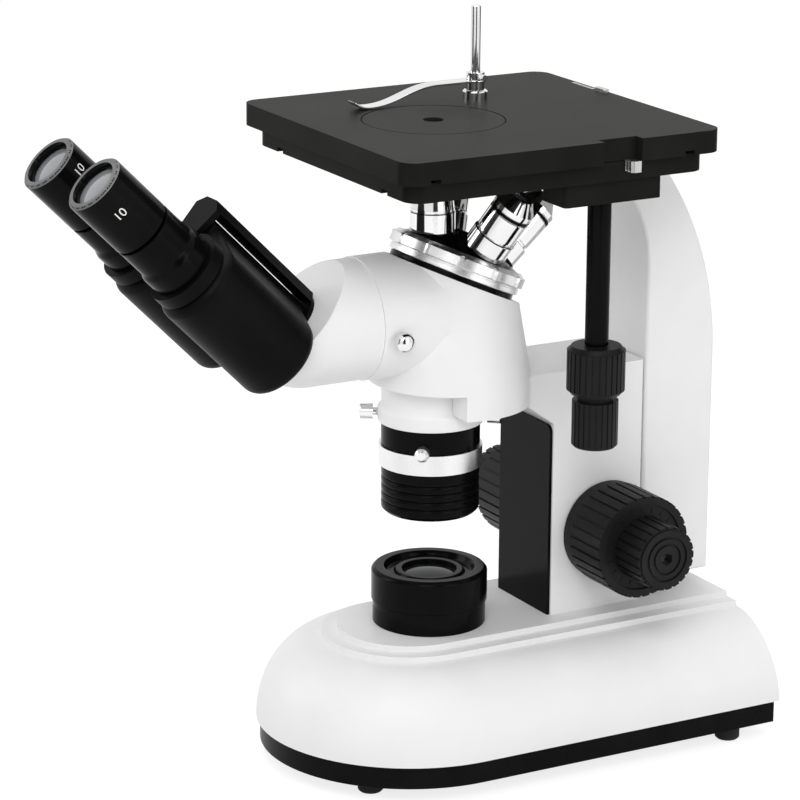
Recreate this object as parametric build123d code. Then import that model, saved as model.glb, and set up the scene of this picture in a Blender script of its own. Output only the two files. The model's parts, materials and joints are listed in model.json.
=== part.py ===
"""Inverted metallurgical microscope, in millimetres.

Model axes: X to the user's right, Y to the back, Z up.  Everything is drawn with
the optical axis on the Z axis and then shifted along Y, so that the origin lies on
the bench under the middle of the whole instrument.
"""
from build123d import *
from math import acos, cos, pi, radians, sin, tan
import os

# Clearances
SLIDE_GAP = 0.3          # between flat faces that slide on each other
RUN_GAP = 0.05           # radial running fit of a shaft in its bore
PART_GAP = 0.4           # between neighbours that turn past each other
BACKLASH = 0.16          # tooth play of the racks and pinions

# Base
BASE_HALF_WIDTH = 79.0
BASE_FRONT_CENTRE_Y = -12.0
BASE_BACK_Y = 168.0
BASE_BACK_SLOPE = 7.0
BASE_DOME_HEIGHT = 43.5
BASE_WALL = 5.0
STEP_HALF_WIDTH = 45.0
PLATEAU_HALF_WIDTH = 37.0
STEP_HEIGHT = 3.0
PLATE_INSET = 2.0
PLATE_HEIGHT = 12.0
PLATE_FLOOR = 3.0
FOOT_RADIUS = 6.5
FOOT_HEIGHT = 8.0
FRONT_FOOT = (41.5, -57.0)
BACK_FOOT = (67.0, 143.5)

# Rear connections
REAR_POCKET_WIDTH = 96.0
REAR_POCKET_HEIGHT = 28.0
REAR_POCKET_DEPTH = 6.0
REAR_POCKET_RISE = 6.0
INLET_WIDTH = 27.0
INLET_HEIGHT = 20.0
INLET_DEPTH = 16.0
INLET_WALL = 2.2
INLET_PIN = 2.0
INLET_PIN_X = 7.0
INLET_PIN_Z = -3.5
EARTH_PIN_Z = 0.5
ROCKER_WIDTH = 13.0
ROCKER_HEIGHT = 19.0
ROCKER_SWING = 9.0
ROCKER_PIN_RADIUS = 1.5
ROCKER_PIN_REACH = 2.0
CONTROL_SPACING = 34.0
DIMMER_RADIUS = 8.0
DIMMER_LENGTH = 11.0
DIMMER_STEM_RADIUS = 3.0

# Lamp housing on the base
LAMP_SEAT_RADIUS = 29.2
LAMP_SEAT_HEIGHT = 12.0
LAMP_RING_RADIUS = 30.0
LAMP_RING_HEIGHT = 17.3
LAMP_BORE_RADIUS = 22.0
LAMP_LENS_RADIUS = 14.2
LAMP_LENS_THICKNESS = 3.5
BULB_RADIUS = 5.5
BULB_LENGTH = 12.0
BULB_BASE_RADIUS = 12.0
BULB_BASE_HEIGHT = 7.0

# Focus block behind the lamp
BLOCK_HALF_WIDTH = 25.6
BLOCK_FRONT_Y = 58.2
BLOCK_BACK_Y = 112.6
BLOCK_TOP_Z = 200.4
NOSE_FRONT_Y = 40.0
NOSE_UNDER_Z = 186.0
NOSE_ROOT_Z = 173.0
PANEL_THICKNESS = 1.6
PANEL_INSET = 1.0
PANEL_CORNER = 4.0
POCKET_HALF_WIDTH = 14.0
POCKET_MARGIN = 6.0

# Focus arm and its slide
ARM_SEAM = 1.2
ARM_DEPTH = 42.2
ARM_BOTTOM_Z = 80.0
ARM_TOP_Z = 306.0
ARM_TOP_FRONT_Y = 80.0
ARM_TOP_BACK_Y = 119.0
ARM_FRONT_BEND_Z = 250.0
ARM_BACK_BEND_Z = 200.0
ARM_EDGE_RADIUS = 2.0
SLIDE_BOTTOM_Z = 86.0
SLIDE_LENGTH = 88.0

# Focus drive
FOCUS_Y = 91.0
FOCUS_Z = 112.0
FOCUS_MODULE = 1.0
FOCUS_TEETH = 18
PINION_WIDTH = 14.0
COARSE_SHAFT_RADIUS = 6.5
FINE_SHAFT_RADIUS = 3.0
COARSE_RADIUS = 27.0
COARSE_LENGTH = 35.0
COARSE_RIBS = 30
FINE_RADIUS = 16.75
FINE_LENGTH = 22.0
FINE_RIBS = 22
KNOB_GAP = 1.0
DIAL_WIDTH = 6.0
DIAL_DEPTH = 1.2

# Head casting over the lamp
HEAD_Y = 10.5
HEAD_BASE_RADIUS = 42.0
HEAD_BASE_Z = 199.0
HEAD_TAPER = 8.0 / 46.0
SKIRT_Z = 186.0
SKIRT_FRONT_Y = -2.0
TUBE_Z = 235.6
TUBE_RADIUS = 30.8
TUBE_COLLAR_Y = -44.0
TUBE_COLLAR_RADIUS = 31.4
ELBOW_Y = -75.8
LIGHT_BORE = 13.0
VIEW_BORE = 19.0
GLASS_THICKNESS = 2.0
LOCK_SCREW_Y = -35.5
LOCK_SCREW_RADIUS = 5.0
LOCK_SCREW_LENGTH = 9.0

# Illuminator under the head
NECK_RADIUS = 25.3
COLLAR_RADIUS = 27.2
COLLAR_TOP_Z = 186.0
COLLAR_BOTTOM_Z = 177.3
UPPER_TUBE_RADIUS = 25.4
LOWER_TUBE_RADIUS = 25.2
TUBE_BOTTOM_Z = 129.5
TUBE_WALL = 4.5
IRIS_RADIUS = 26.6
IRIS_TOP_Z = 165.3
IRIS_HEIGHT = 11.0
IRIS_SEAT_RADIUS = 24.0
IRIS_LEVER_RADIUS = 3.6
IRIS_LEVER_LENGTH = 6.5
IRIS_LEVER_ANGLE = -38.0
TUBE_GROOVES = 4
TUBE_GROOVE_DEPTH = 0.6
CENTRING_ANGLES = (238.0, 52.0)
CENTRING_HEAD_RADIUS = 4.2
CENTRING_HEAD_LENGTH = 7.0
CENTRING_STEM_RADIUS = 2.0
CENTRING_STEM_LENGTH = 2.5

# Nosepiece
NOSE_TILT = 24.0
NOSE_APEX_Z = 226.6
SEAT_START = 26.5
SEAT_HEIGHT = 2.7
SEAT_RADIUS = 33.0
RING_HEIGHT = 11.0
RING_RADIUS = 36.0
RING_FLANGE_RADIUS = 34.6
RING_FLANGE_HEIGHT = 3.5
RING_WALL = 5.0
RING_GRIPS = 24
OBJECTIVE_COUNT = 4
OBJECTIVE_START = 49.5
OBJECTIVE_RADIUS = 11.6
OBJECTIVE_BARREL_RADIUS = 10.8
OBJECTIVE_LENGTHS = (32.0, 35.0, 40.0, 42.0)
OBJECTIVE_TIP_RADII = (8.0, 6.5, 5.5, 4.5)
OBJECTIVE_SHOULDER = 10.5
TURRET_TOP_RADIUS = 8.0

# Stage
STAGE_HALF_WIDTH = 86.5
STAGE_FRONT_Y = -64.0
STAGE_BACK_Y = 116.0
STAGE_CORNER = 9.0
INDEX_NOTCH_DEPTH = 6.0
INDEX_NOTCH_WIDTH = 22.0
BRACKET_THICKNESS = 5.0
BRACKET_HALF_WIDTH = 58.0
BRACKET_FRONT_Y = -40.0
BRACKET_OPENING_HALF_WIDTH = 50.0
BRACKET_OPENING_FRONT_Y = -24.0
BRACKET_OPENING_BACK_Y = 70.0
LOWER_PLATE_THICKNESS = 9.7
LOWER_PLATE_INSET = 6.0
LOWER_OPENING_HALF_WIDTH = 46.0
LOWER_OPENING_FRONT_Y = -30.0
LOWER_OPENING_BACK_Y = 54.0
OPENING_CORNER = 12.0
TOP_PLATE_THICKNESS = 11.4
INSERT_RADIUS = 36.0
INSERT_THICKNESS = 3.0
INSERT_LEDGE = 2.5
INSERT_HOLE_RADIUS = 5.0
RAIL_HEIGHT = 2.4
RAIL_WIDTH = 5.0
Y_RAIL_X = 54.0
X_RAIL_FRONT_Y = -48.0
X_RAIL_BACK_Y = 96.0
X_RAIL_HALF_LENGTH = 70.0

# Coaxial stage drive
DRIVE_X = 66.0
DRIVE_Y = 57.0
DRIVE_MODULE = 0.8
DRIVE_TEETH = 15
DRIVE_BLOCK_HALF_WIDTH = 11.0
DRIVE_BLOCK_FRONT_Y = 30.0
DRIVE_BLOCK_BACK_Y = 86.0
DRIVE_BLOCK_BOTTOM_Z = 299.5
SLEEVE_RADIUS = 6.0
Y_SHAFT_RADIUS = 4.0
X_SHAFT_RADIUS = 2.0
Y_PINION_HEIGHT = 4.5
X_PINION_HEIGHT = 5.0
RACK_DEPTH = 4.0
Y_TRAVEL = 15.0
X_TRAVEL = 15.0
Y_KNOB_RADIUS = 14.7
Y_KNOB_TOP_Z = 225.0
Y_KNOB_HEIGHT = 25.0
X_KNOB_RADIUS = 11.7
X_KNOB_NECK_RADIUS = 9.0
X_KNOB_NECK = 3.0
X_KNOB_HEIGHT = 24.0
KNOB_CHAMFER = 2.2

# Specimen clip
POST_X = -39.0
POST_Y = 47.0
POST_RADIUS = 2.6
POST_HEIGHT = 48.0
POST_FOOT_RADIUS = 6.5
POST_FOOT_HEIGHT = 4.0
CLIP_COLLAR_RADIUS = 4.8
CLIP_COLLAR_HEIGHT = 9.0
CLIP_SCREW_RADIUS = 1.6
CLIP_SCREW_LENGTH = 5.0
CLIP_WIDTH = 8.0
CLIP_THICKNESS = 1.2
CLIP_REACH = 72.0
CLIP_SPAN_HIGH = 24.0
CLIP_TIP = 9.0

# Binocular tube, measured along the eyepiece axis from the elbow's corner
VIEW_TILT = 45.0
ELBOW_FACE = 6.5
ELBOW_WALL = 4.0
HINGE_DISC = 2.5
HINGE_DISC_RADIUS = 15.0
AXLE_RADIUS = 4.0
AXLE_BORE = 2.5
HUB_RADIUS = 9.0
HOUSING_RADIUS = 22.0
HOUSING_LENGTH = 69.5
HOUSING_EDGE = 6.0
EYE_HALF_SPACING = 26.0
EYE_DROP = 22.5
SPINE_BOTTOM = 11.4
SPINE_TOP = 16.0
SPINE_HALF_WIDTH = 11.0
SPINE_TOP_HALF_WIDTH = 5.5
SPINE_GAP = 0.45          # over the hub lugs
HINGE_CAP = 3.5
FLANGE_RADIUS = 20.0
FLANGE_LENGTH = 7.0
NECK_LENGTH = 14.0
EYE_BARREL_RADIUS = 11.6
NECK_WALL = 1.6
EYE_TUBE_RADIUS = 17.0
EYE_TUBE_LENGTH = 28.6
EYEPIECE_RADIUS = 15.6
EYEPIECE_GAP = 1.8
EYEPIECE_LENGTH = 33.8
EYE_LENS_RADIUS = 11.0
EYE_LENS_THICKNESS = 3.0
EYE_CUP_DEPTH = 2.2
EYEPIECE_EDGE = 1.2

# Derived heights and places
PLATE_BOTTOM_Z = FOOT_HEIGHT
SHELL_BOTTOM_Z = PLATE_BOTTOM_Z + PLATE_HEIGHT
DOME_TOP_Z = SHELL_BOTTOM_Z + BASE_DOME_HEIGHT
PLATEAU_Z = DOME_TOP_Z + 2 * STEP_HEIGHT
LAMP_RING_Z = PLATEAU_Z + LAMP_SEAT_HEIGHT
LAMP_TOP_Z = LAMP_RING_Z + LAMP_RING_HEIGHT
ARM_FRONT_Y = BLOCK_BACK_Y + ARM_SEAM
ARM_BACK_Y = ARM_FRONT_Y + ARM_DEPTH
BRACKET_TOP_Z = ARM_TOP_Z + BRACKET_THICKNESS
LOWER_PLATE_Z = BRACKET_TOP_Z + SLIDE_GAP
LOWER_PLATE_TOP_Z = LOWER_PLATE_Z + LOWER_PLATE_THICKNESS
TOP_PLATE_Z = LOWER_PLATE_TOP_Z + SLIDE_GAP
STAGE_TOP_Z = TOP_PLATE_Z + TOP_PLATE_THICKNESS
RING_START = SEAT_START + SEAT_HEIGHT + SLIDE_GAP
HOUSING_START = ELBOW_FACE + HINGE_DISC + PART_GAP
HOUSING_END = HOUSING_START + HOUSING_LENGTH
EYE_TUBE_START = HOUSING_END + FLANGE_LENGTH + SLIDE_GAP
EYE_TUBE_END = EYE_TUBE_START + EYE_TUBE_LENGTH
EYEPIECE_START = EYE_TUBE_END + EYEPIECE_GAP
EYEPIECE_END = EYEPIECE_START + EYEPIECE_LENGTH
FOCUS_PITCH_RADIUS = FOCUS_MODULE * FOCUS_TEETH / 2
DRIVE_PITCH_RADIUS = DRIVE_MODULE * DRIVE_TEETH / 2

# Frames of the tilted groups
tilt = radians(NOSE_TILT)
view = radians(VIEW_TILT)
NOSE = Plane(origin=(0, 0, NOSE_APEX_Z), x_dir=(1, 0, 0), z_dir=(0, sin(tilt), cos(tilt))).location
VIEW = Plane(origin=(0, ELBOW_Y, TUBE_Z), x_dir=(1, 0, 0), z_dir=(0, -cos(view), sin(view))).location

# The furthest eyepiece point in front and the base at the back set the origin
FRONT_REACH_Y = ELBOW_Y - EYEPIECE_END * cos(view) - (EYE_DROP + EYEPIECE_RADIUS) * sin(view)
AXIS_Y = -(FRONT_REACH_Y + BASE_BACK_Y) / 2

BOTTOM = (Align.CENTER, Align.CENTER, Align.MIN)


def disc(radius, low, high, x=0.0, y=0.0):
    """Upright cylinder between two heights."""
    return Pos(x, y, low) * Cylinder(radius, high - low, align=BOTTOM)


def block(x_span, y_span, z_span):
    """Box between two corners."""
    size = [high - low for low, high in (x_span, y_span, z_span)]
    return Pos(x_span[0], y_span[0], z_span[0]) * Box(*size, align=(Align.MIN, Align.MIN, Align.MIN))


def lathe(points):
    """Solid of revolution about Z from a closed outline of (radius, height) points."""
    return revolve(Plane.XZ * make_face(Polyline(*points, close=True)), Axis.Z)


def along_x(shape, x=0.0, y=0.0, z=0.0):
    """Lay a solid that stands on Z along +X, with its foot at the given point."""
    return Pos(x, y, z) * Rot(0, 90, 0) * shape


def slab(outline, low, high):
    """Extrude a plan outline between two heights."""
    return Pos(0, 0, low) * extrude(outline, high - low)


def side_slab(outline, half_width):
    """Extrude an outline drawn in (Y, Z) to both sides of the middle plane."""
    return extrude(Plane.YZ * outline, half_width, both=True)


def rectangle(x_span, y_span, corner=0.0):
    """Plan rectangle between two corners, with rounded corners."""
    width = x_span[1] - x_span[0]
    depth = y_span[1] - y_span[0]
    centre = Pos((x_span[0] + x_span[1]) / 2, (y_span[0] + y_span[1]) / 2)
    if corner:
        return centre * RectangleRounded(width, depth, corner)
    return centre * Rectangle(width, depth)


def d_outline(half_width, back_y):
    """Base plan: a half circle in front, straight sides and a square back."""
    front = Pos(0, BASE_FRONT_CENTRE_Y) * Circle(half_width)
    return front + rectangle((-half_width, half_width), (BASE_FRONT_CENTRE_Y, back_y))


# Gear teeth
PRESSURE = radians(20.0)
TOOTH_ADDENDUM = 0.8
TOOTH_DEDENDUM = 1.05
FLANK_POINTS = 4


def involute(angle):
    return tan(angle) - angle


def gear_outline(module, teeth):
    """Spur gear outline with stub involute teeth, the first tooth on +X."""
    pitch = module * teeth / 2
    base = pitch * cos(PRESSURE)
    tip = pitch + TOOTH_ADDENDUM * module
    root = pitch - TOOTH_DEDENDUM * module
    half_tooth = (pi * module / 2 - BACKLASH) / (2 * pitch) + involute(PRESSURE)
    start = max(base, root)
    radii = [start + (tip - start) * i / (FLANK_POINTS - 1) for i in range(FLANK_POINTS)]
    flank = [(radius, half_tooth - involute(acos(base / radius))) for radius in radii]
    flank.insert(0, (root, flank[0][1]))
    points = []
    for tooth in range(teeth):
        middle = 2 * pi * tooth / teeth
        for radius, half in flank:
            points.append((radius * cos(middle - half), radius * sin(middle - half)))
        for radius, half in reversed(flank):
            points.append((radius * cos(middle + half), radius * sin(middle + half)))
    return make_face(Polyline(*points, close=True))


def rack_outline(module, count, backing):
    """Rack along local Y with its teeth towards -X and a tooth space at the origin."""
    pitch = pi * module
    height = (TOOTH_ADDENDUM + TOOTH_DEDENDUM) * module
    half_pitch_line = (pitch / 2 - BACKLASH) / 2
    half_tip = half_pitch_line - TOOTH_ADDENDUM * module * tan(PRESSURE)
    half_root = half_tip + height * tan(PRESSURE)
    tip_x = -TOOTH_ADDENDUM * module
    root_x = tip_x + height
    first = -pitch * count / 2
    points = [(root_x + backing, first)]
    for tooth in range(count):
        middle = first + pitch * (tooth + 0.5)
        points.append((root_x, middle - half_root))
        points.append((tip_x, middle - half_tip))
        points.append((tip_x, middle + half_tip))
        points.append((root_x, middle + half_root))
    points.append((root_x + backing, -first))
    points.insert(1, (root_x, first))
    points.insert(-1, (root_x, -first))
    return make_face(Polyline(*points, close=True))


def ribbed_disc(radius, ribs, depth):
    """Knob section: a circle with evenly spaced shallow flutes."""
    flute = pi * radius / ribs / 2
    section = Circle(radius)
    for place in PolarLocations(radius, ribs):
        section -= place * Rectangle(2 * depth, flute)
    return section


# Base
def base_profile(inset):
    """Half section of the shell: an elliptical dome with two low steps on top."""
    step = STEP_HALF_WIDTH - inset
    dome = EllipticalCenterArc(
        (step, SHELL_BOTTOM_Z),
        BASE_HALF_WIDTH - STEP_HALF_WIDTH,
        BASE_DOME_HEIGHT - inset,
        start_angle=0,
        arc_size=90,
    )
    rest = Polyline(
        (step, DOME_TOP_Z - inset),
        (step, DOME_TOP_Z + STEP_HEIGHT - inset),
        (PLATEAU_HALF_WIDTH - inset, DOME_TOP_Z + STEP_HEIGHT - inset),
        (PLATEAU_HALF_WIDTH - inset, PLATEAU_Z - inset),
        (0, PLATEAU_Z - inset),
        (0, SHELL_BOTTOM_Z),
        (BASE_HALF_WIDTH - inset, SHELL_BOTTOM_Z),
    )
    return make_face([dome, *rest.edges()])


def base_form(inset, back_y):
    """The shell's outer form, or its cavity when it is inset."""
    half = Plane.XZ * base_profile(inset)
    nose = Pos(0, BASE_FRONT_CENTRE_Y, 0) * revolve(half, Axis.Z)
    straight = extrude(half, -(back_y - BASE_FRONT_CENTRE_Y))
    straight = Pos(0, BASE_FRONT_CENTRE_Y, 0) * straight
    return nose + straight + mirror(straight, Plane.YZ)


REAR_POCKET_Z = SHELL_BOTTOM_Z + REAR_POCKET_RISE
REAR_WALL_Y = BASE_BACK_Y - BASE_BACK_SLOPE - REAR_POCKET_DEPTH
REAR_MIDDLE_Z = REAR_POCKET_Z + REAR_POCKET_HEIGHT / 2
ROCKER_PIVOT_Y = REAR_WALL_Y - BASE_WALL / 2


def base_shell():
    shell = base_form(0.0, BASE_BACK_Y)
    back_low = (BASE_BACK_Y, SHELL_BOTTOM_Z)
    back_top = (BASE_BACK_Y - BASE_BACK_SLOPE, PLATEAU_Z)
    back_middle = (BASE_BACK_Y - BASE_BACK_SLOPE * 0.35, (SHELL_BOTTOM_Z + PLATEAU_Z) / 2)
    beyond = BASE_BACK_Y + BASE_WALL
    waste = make_face([
        ThreePointArc(back_low, back_middle, back_top),
        *Polyline(back_top, (beyond, PLATEAU_Z), (beyond, SHELL_BOTTOM_Z), back_low).edges(),
    ])
    shell -= side_slab(waste, BASE_HALF_WIDTH + BASE_WALL)
    shell -= base_form(BASE_WALL, REAR_WALL_Y - BASE_WALL)
    half = REAR_POCKET_WIDTH / 2
    shell -= block(
        (-half, half), (REAR_WALL_Y, beyond), (REAR_POCKET_Z, REAR_POCKET_Z + REAR_POCKET_HEIGHT)
    )
    through = (REAR_WALL_Y - BASE_WALL, REAR_WALL_Y)
    shell -= block(
        (-INLET_WIDTH / 2, INLET_WIDTH / 2),
        through,
        (REAR_MIDDLE_Z - INLET_HEIGHT / 2, REAR_MIDDLE_Z + INLET_HEIGHT / 2),
    )
    shell -= block(
        (CONTROL_SPACING - ROCKER_WIDTH / 2 - PART_GAP, CONTROL_SPACING + ROCKER_WIDTH / 2 + PART_GAP),
        through,
        (REAR_MIDDLE_Z - ROCKER_HEIGHT / 2 - PART_GAP, REAR_MIDDLE_Z + ROCKER_HEIGHT / 2 + PART_GAP),
    )
    pin_end = ROCKER_WIDTH / 2 + ROCKER_PIN_REACH + PART_GAP
    pin_hole = along_x(disc(ROCKER_PIN_RADIUS + RUN_GAP, -pin_end, pin_end), y=ROCKER_PIVOT_Y, z=REAR_MIDDLE_Z)
    shell -= Pos(CONTROL_SPACING, 0, 0) * pin_hole
    stem = Rot(-90, 0, 0) * disc(DIMMER_STEM_RADIUS + RUN_GAP, 0, BASE_WALL)
    shell -= Pos(-CONTROL_SPACING, through[0], REAR_MIDDLE_Z) * stem
    shell -= disc(BULB_BASE_RADIUS, PLATEAU_Z - BASE_WALL, PLATEAU_Z)
    return shell


def base_plate():
    half = BASE_HALF_WIDTH - PLATE_INSET
    back = BASE_BACK_Y - PLATE_INSET
    tray = slab(d_outline(half, back), PLATE_BOTTOM_Z, SHELL_BOTTOM_Z)
    inside = BASE_HALF_WIDTH - BASE_WALL
    return tray - slab(
        d_outline(inside, REAR_WALL_Y - BASE_WALL), PLATE_BOTTOM_Z + PLATE_FLOOR, SHELL_BOTTOM_Z
    )


def base_feet():
    edge = FOOT_HEIGHT / 8
    foot = lathe([
        (0, 0),
        (FOOT_RADIUS - edge, 0),
        (FOOT_RADIUS, edge),
        (FOOT_RADIUS, FOOT_HEIGHT),
        (0, FOOT_HEIGHT),
    ])
    return [Pos(side * x, y, 0) * foot for x, y in (FRONT_FOOT, BACK_FOOT) for side in (-1, 1)]


def power_inlet():
    """Three-pin mains inlet, a moulded cup with its flange in the rear pocket."""
    flange = 2.0
    width = INLET_WIDTH / 2
    height = INLET_HEIGHT / 2
    cup = block((-width, width), (-INLET_DEPTH, 0), (-height, height))
    lip = block((-width - flange, width + flange), (0, flange), (-height - flange, height + flange))
    cavity = block(
        (-width + INLET_WALL, width - INLET_WALL),
        (-INLET_DEPTH + INLET_WALL, flange),
        (-height + INLET_WALL, height - INLET_WALL),
    )
    inlet = cup + lip - cavity
    pin_tip = -flange
    for x, z in ((-INLET_PIN_X, INLET_PIN_Z), (0.0, EARTH_PIN_Z), (INLET_PIN_X, INLET_PIN_Z)):
        inlet += block(
            (x - INLET_PIN / 2, x + INLET_PIN / 2),
            (-INLET_DEPTH + INLET_WALL, pin_tip),
            (z - INLET_PIN, z + INLET_PIN),
        )
    return Pos(0, REAR_WALL_Y, REAR_MIDDLE_Z) * inlet


def power_rocker():
    """Rocker with two slanted halves about its pivot, pressed in at the bottom."""
    reach = ROCKER_HEIGHT / 2
    rise = reach * tan(radians(ROCKER_SWING))
    face = BASE_WALL / 2
    outline = make_face(Polyline(
        (-face, -reach + rise),
        (-face, reach - rise),
        (face + rise, reach - PART_GAP),
        (face, 0),
        (face + rise, -reach + PART_GAP),
        close=True,
    ))
    rocker = Rot(-ROCKER_SWING, 0, 0) * side_slab(outline, ROCKER_WIDTH / 2)
    pin_end = ROCKER_WIDTH / 2 + ROCKER_PIN_REACH
    rocker += along_x(disc(ROCKER_PIN_RADIUS, -pin_end, pin_end))
    return Pos(CONTROL_SPACING, ROCKER_PIVOT_Y, REAR_MIDDLE_Z) * rocker


def dimmer_knob():
    """Brightness knob with its stem through the rear wall."""
    knob = slab(ribbed_disc(DIMMER_RADIUS, 18, 0.6), SLIDE_GAP, DIMMER_LENGTH)
    knob = chamfer(knob.faces().sort_by(Axis.Z)[-1].edges(), 0.8)
    knob += disc(DIMMER_STEM_RADIUS, -BASE_WALL, SLIDE_GAP)
    return Pos(-CONTROL_SPACING, REAR_WALL_Y, REAR_MIDDLE_Z) * Rot(-90, 0, 0) * knob


# Lamp
def lamp_seat():
    return disc(LAMP_SEAT_RADIUS, PLATEAU_Z, LAMP_RING_Z) - disc(LAMP_BORE_RADIUS, PLATEAU_Z, LAMP_RING_Z)


LENS_LEDGE = 1.5
LENS_SEAT_Z = LAMP_TOP_Z - 6.0


def lamp_ring():
    edge = 1.6
    rim = LAMP_RING_RADIUS - 6.5
    inner = LAMP_LENS_RADIUS + 4.0
    return lathe([
        (LAMP_BORE_RADIUS, LAMP_RING_Z),
        (LAMP_RING_RADIUS, LAMP_RING_Z),
        (LAMP_RING_RADIUS, LAMP_TOP_Z - edge),
        (LAMP_RING_RADIUS - edge, LAMP_TOP_Z),
        (rim, LAMP_TOP_Z),
        (rim - edge, LAMP_TOP_Z - 2 * edge),
        (inner, LAMP_TOP_Z - 2 * edge),
        (inner - edge / 2, LAMP_TOP_Z - edge),
        (LAMP_LENS_RADIUS, LAMP_TOP_Z - edge),
        (LAMP_LENS_RADIUS, LENS_SEAT_Z),
        (LAMP_LENS_RADIUS - LENS_LEDGE, LENS_SEAT_Z),
        (LAMP_LENS_RADIUS - LENS_LEDGE, LENS_SEAT_Z - 2 * edge),
        (LAMP_BORE_RADIUS, LENS_SEAT_Z - 3 * edge),
    ])


def dome_lens(radius, thickness, low):
    """Plano-convex lens standing on its flat face."""
    edge = thickness / 2
    sag = thickness - edge
    ball = (radius ** 2 + sag ** 2) / (2 * sag)
    body = disc(radius, low, low + thickness)
    return body & Pos(0, 0, low + thickness - ball) * Sphere(ball)


def illumination_lenses():
    """Collector lens over the lamp and condenser lens in the illuminator tube."""
    collector = dome_lens(LAMP_LENS_RADIUS, LAMP_LENS_THICKNESS, LENS_SEAT_Z)
    condenser = dome_lens(CONDENSER_RADIUS, LAMP_LENS_THICKNESS, TUBE_BOTTOM_Z + TUBE_WALL)
    return [collector, condenser]


def lamp_bulb():
    """Halogen capsule on its socket in the base's lamp well."""
    low = PLATEAU_Z - BASE_WALL
    capsule_z = low + BULB_BASE_HEIGHT
    socket = disc(BULB_BASE_RADIUS, low, capsule_z)
    capsule = disc(BULB_RADIUS, capsule_z, capsule_z + BULB_LENGTH - BULB_RADIUS)
    tip = Pos(0, 0, capsule_z + BULB_LENGTH - BULB_RADIUS) * Sphere(BULB_RADIUS)
    return socket + capsule + tip


# Focus block
def focus_block():
    outline = make_face(Polyline(
        (BLOCK_FRONT_Y, PLATEAU_Z),
        (BLOCK_BACK_Y, PLATEAU_Z),
        (BLOCK_BACK_Y, BLOCK_TOP_Z),
        (NOSE_FRONT_Y, BLOCK_TOP_Z),
        (NOSE_FRONT_Y, NOSE_UNDER_Z),
        (BLOCK_FRONT_Y, NOSE_ROOT_Z),
        close=True,
    ))
    body = side_slab(outline, BLOCK_HALF_WIDTH)
    corners = body.edges().filter_by(Axis.Z).group_by(Axis.Y)[-1]
    body = fillet(corners, 1.5)
    pocket_front = FOCUS_Y - FOCUS_PITCH_RADIUS - FOCUS_MODULE - PART_GAP
    body -= block(
        (-POCKET_HALF_WIDTH, POCKET_HALF_WIDTH),
        (pocket_front, BLOCK_BACK_Y),
        (PLATEAU_Z + POCKET_MARGIN, BLOCK_TOP_Z - POCKET_MARGIN),
    )
    bore = disc(COARSE_SHAFT_RADIUS + RUN_GAP, -BLOCK_HALF_WIDTH, BLOCK_HALF_WIDTH)
    return body - along_x(bore, y=FOCUS_Y, z=FOCUS_Z)


def front_panel():
    half = BLOCK_HALF_WIDTH - PANEL_INSET
    height = NOSE_ROOT_Z - PANEL_INSET - PLATEAU_Z
    middle = PLATEAU_Z + height / 2
    plate = Pos(0, middle) * Rectangle(2 * half, height)
    plate = fillet(plate.vertices().group_by(Axis.Y)[-1], PANEL_CORNER)
    return Pos(0, BLOCK_FRONT_Y, 0) * extrude(Plane.XZ * plate, PANEL_THICKNESS)


# Focus arm
def focus_arm():
    """Curved arm that rises behind the block and leans forward under the stage."""
    rise_back = ARM_TOP_Z - ARM_BACK_BEND_Z
    lean_back = ARM_BACK_Y - ARM_TOP_BACK_Y
    back_radius = (rise_back ** 2 + lean_back ** 2) / (2 * lean_back)
    rise_front = ARM_TOP_Z - ARM_FRONT_BEND_Z
    lean_front = ARM_FRONT_Y - ARM_TOP_FRONT_Y
    front_radius = (rise_front ** 2 + lean_front ** 2) / (2 * lean_front)
    outline = make_face([
        *Polyline(
            (ARM_FRONT_Y, ARM_FRONT_BEND_Z),
            (ARM_FRONT_Y, ARM_BOTTOM_Z),
            (ARM_BACK_Y, ARM_BOTTOM_Z),
            (ARM_BACK_Y, ARM_BACK_BEND_Z),
        ).edges(),
        RadiusArc((ARM_BACK_Y, ARM_BACK_BEND_Z), (ARM_TOP_BACK_Y, ARM_TOP_Z), -back_radius),
        Line((ARM_TOP_BACK_Y, ARM_TOP_Z), (ARM_TOP_FRONT_Y, ARM_TOP_Z)),
        RadiusArc((ARM_TOP_FRONT_Y, ARM_TOP_Z), (ARM_FRONT_Y, ARM_FRONT_BEND_Z), front_radius),
    ])
    body = side_slab(outline, BLOCK_HALF_WIDTH)
    rounded = []
    for face in (body.faces().sort_by(Axis.X)[0], body.faces().sort_by(Axis.X)[-1]):
        rounded += [edge for edge in face.edges() if edge.center().Z < ARM_TOP_Z - 1]
    return fillet(rounded, ARM_EDGE_RADIUS)


def arm_slide():
    """Guide bar on the arm's front, with the focus rack along its face."""
    top = SLIDE_BOTTOM_Z + SLIDE_LENGTH
    root = FOCUS_Y + FOCUS_PITCH_RADIUS + TOOTH_DEDENDUM * FOCUS_MODULE
    bar = block(
        (-POCKET_HALF_WIDTH + SLIDE_GAP, POCKET_HALF_WIDTH - SLIDE_GAP),
        (root + RACK_DEPTH / 2, ARM_FRONT_Y),
        (SLIDE_BOTTOM_Z, top),
    )
    pitch = pi * FOCUS_MODULE
    count = 2 * int((FOCUS_Z - SLIDE_BOTTOM_Z) / pitch)
    rack = extrude(rack_outline(FOCUS_MODULE, count, RACK_DEPTH / 2), PINION_WIDTH / 2, both=True)
    standing = Plane(
        origin=(0, FOCUS_Y + FOCUS_PITCH_RADIUS, FOCUS_Z), x_dir=(0, 1, 0), z_dir=(1, 0, 0)
    ).location
    return bar + standing * rack


# Focus drive
COARSE_START = BLOCK_HALF_WIDTH + KNOB_GAP
COARSE_END = COARSE_START + COARSE_LENGTH
FINE_START = COARSE_END + SLIDE_GAP
FINE_END = FINE_START + FINE_LENGTH


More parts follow.
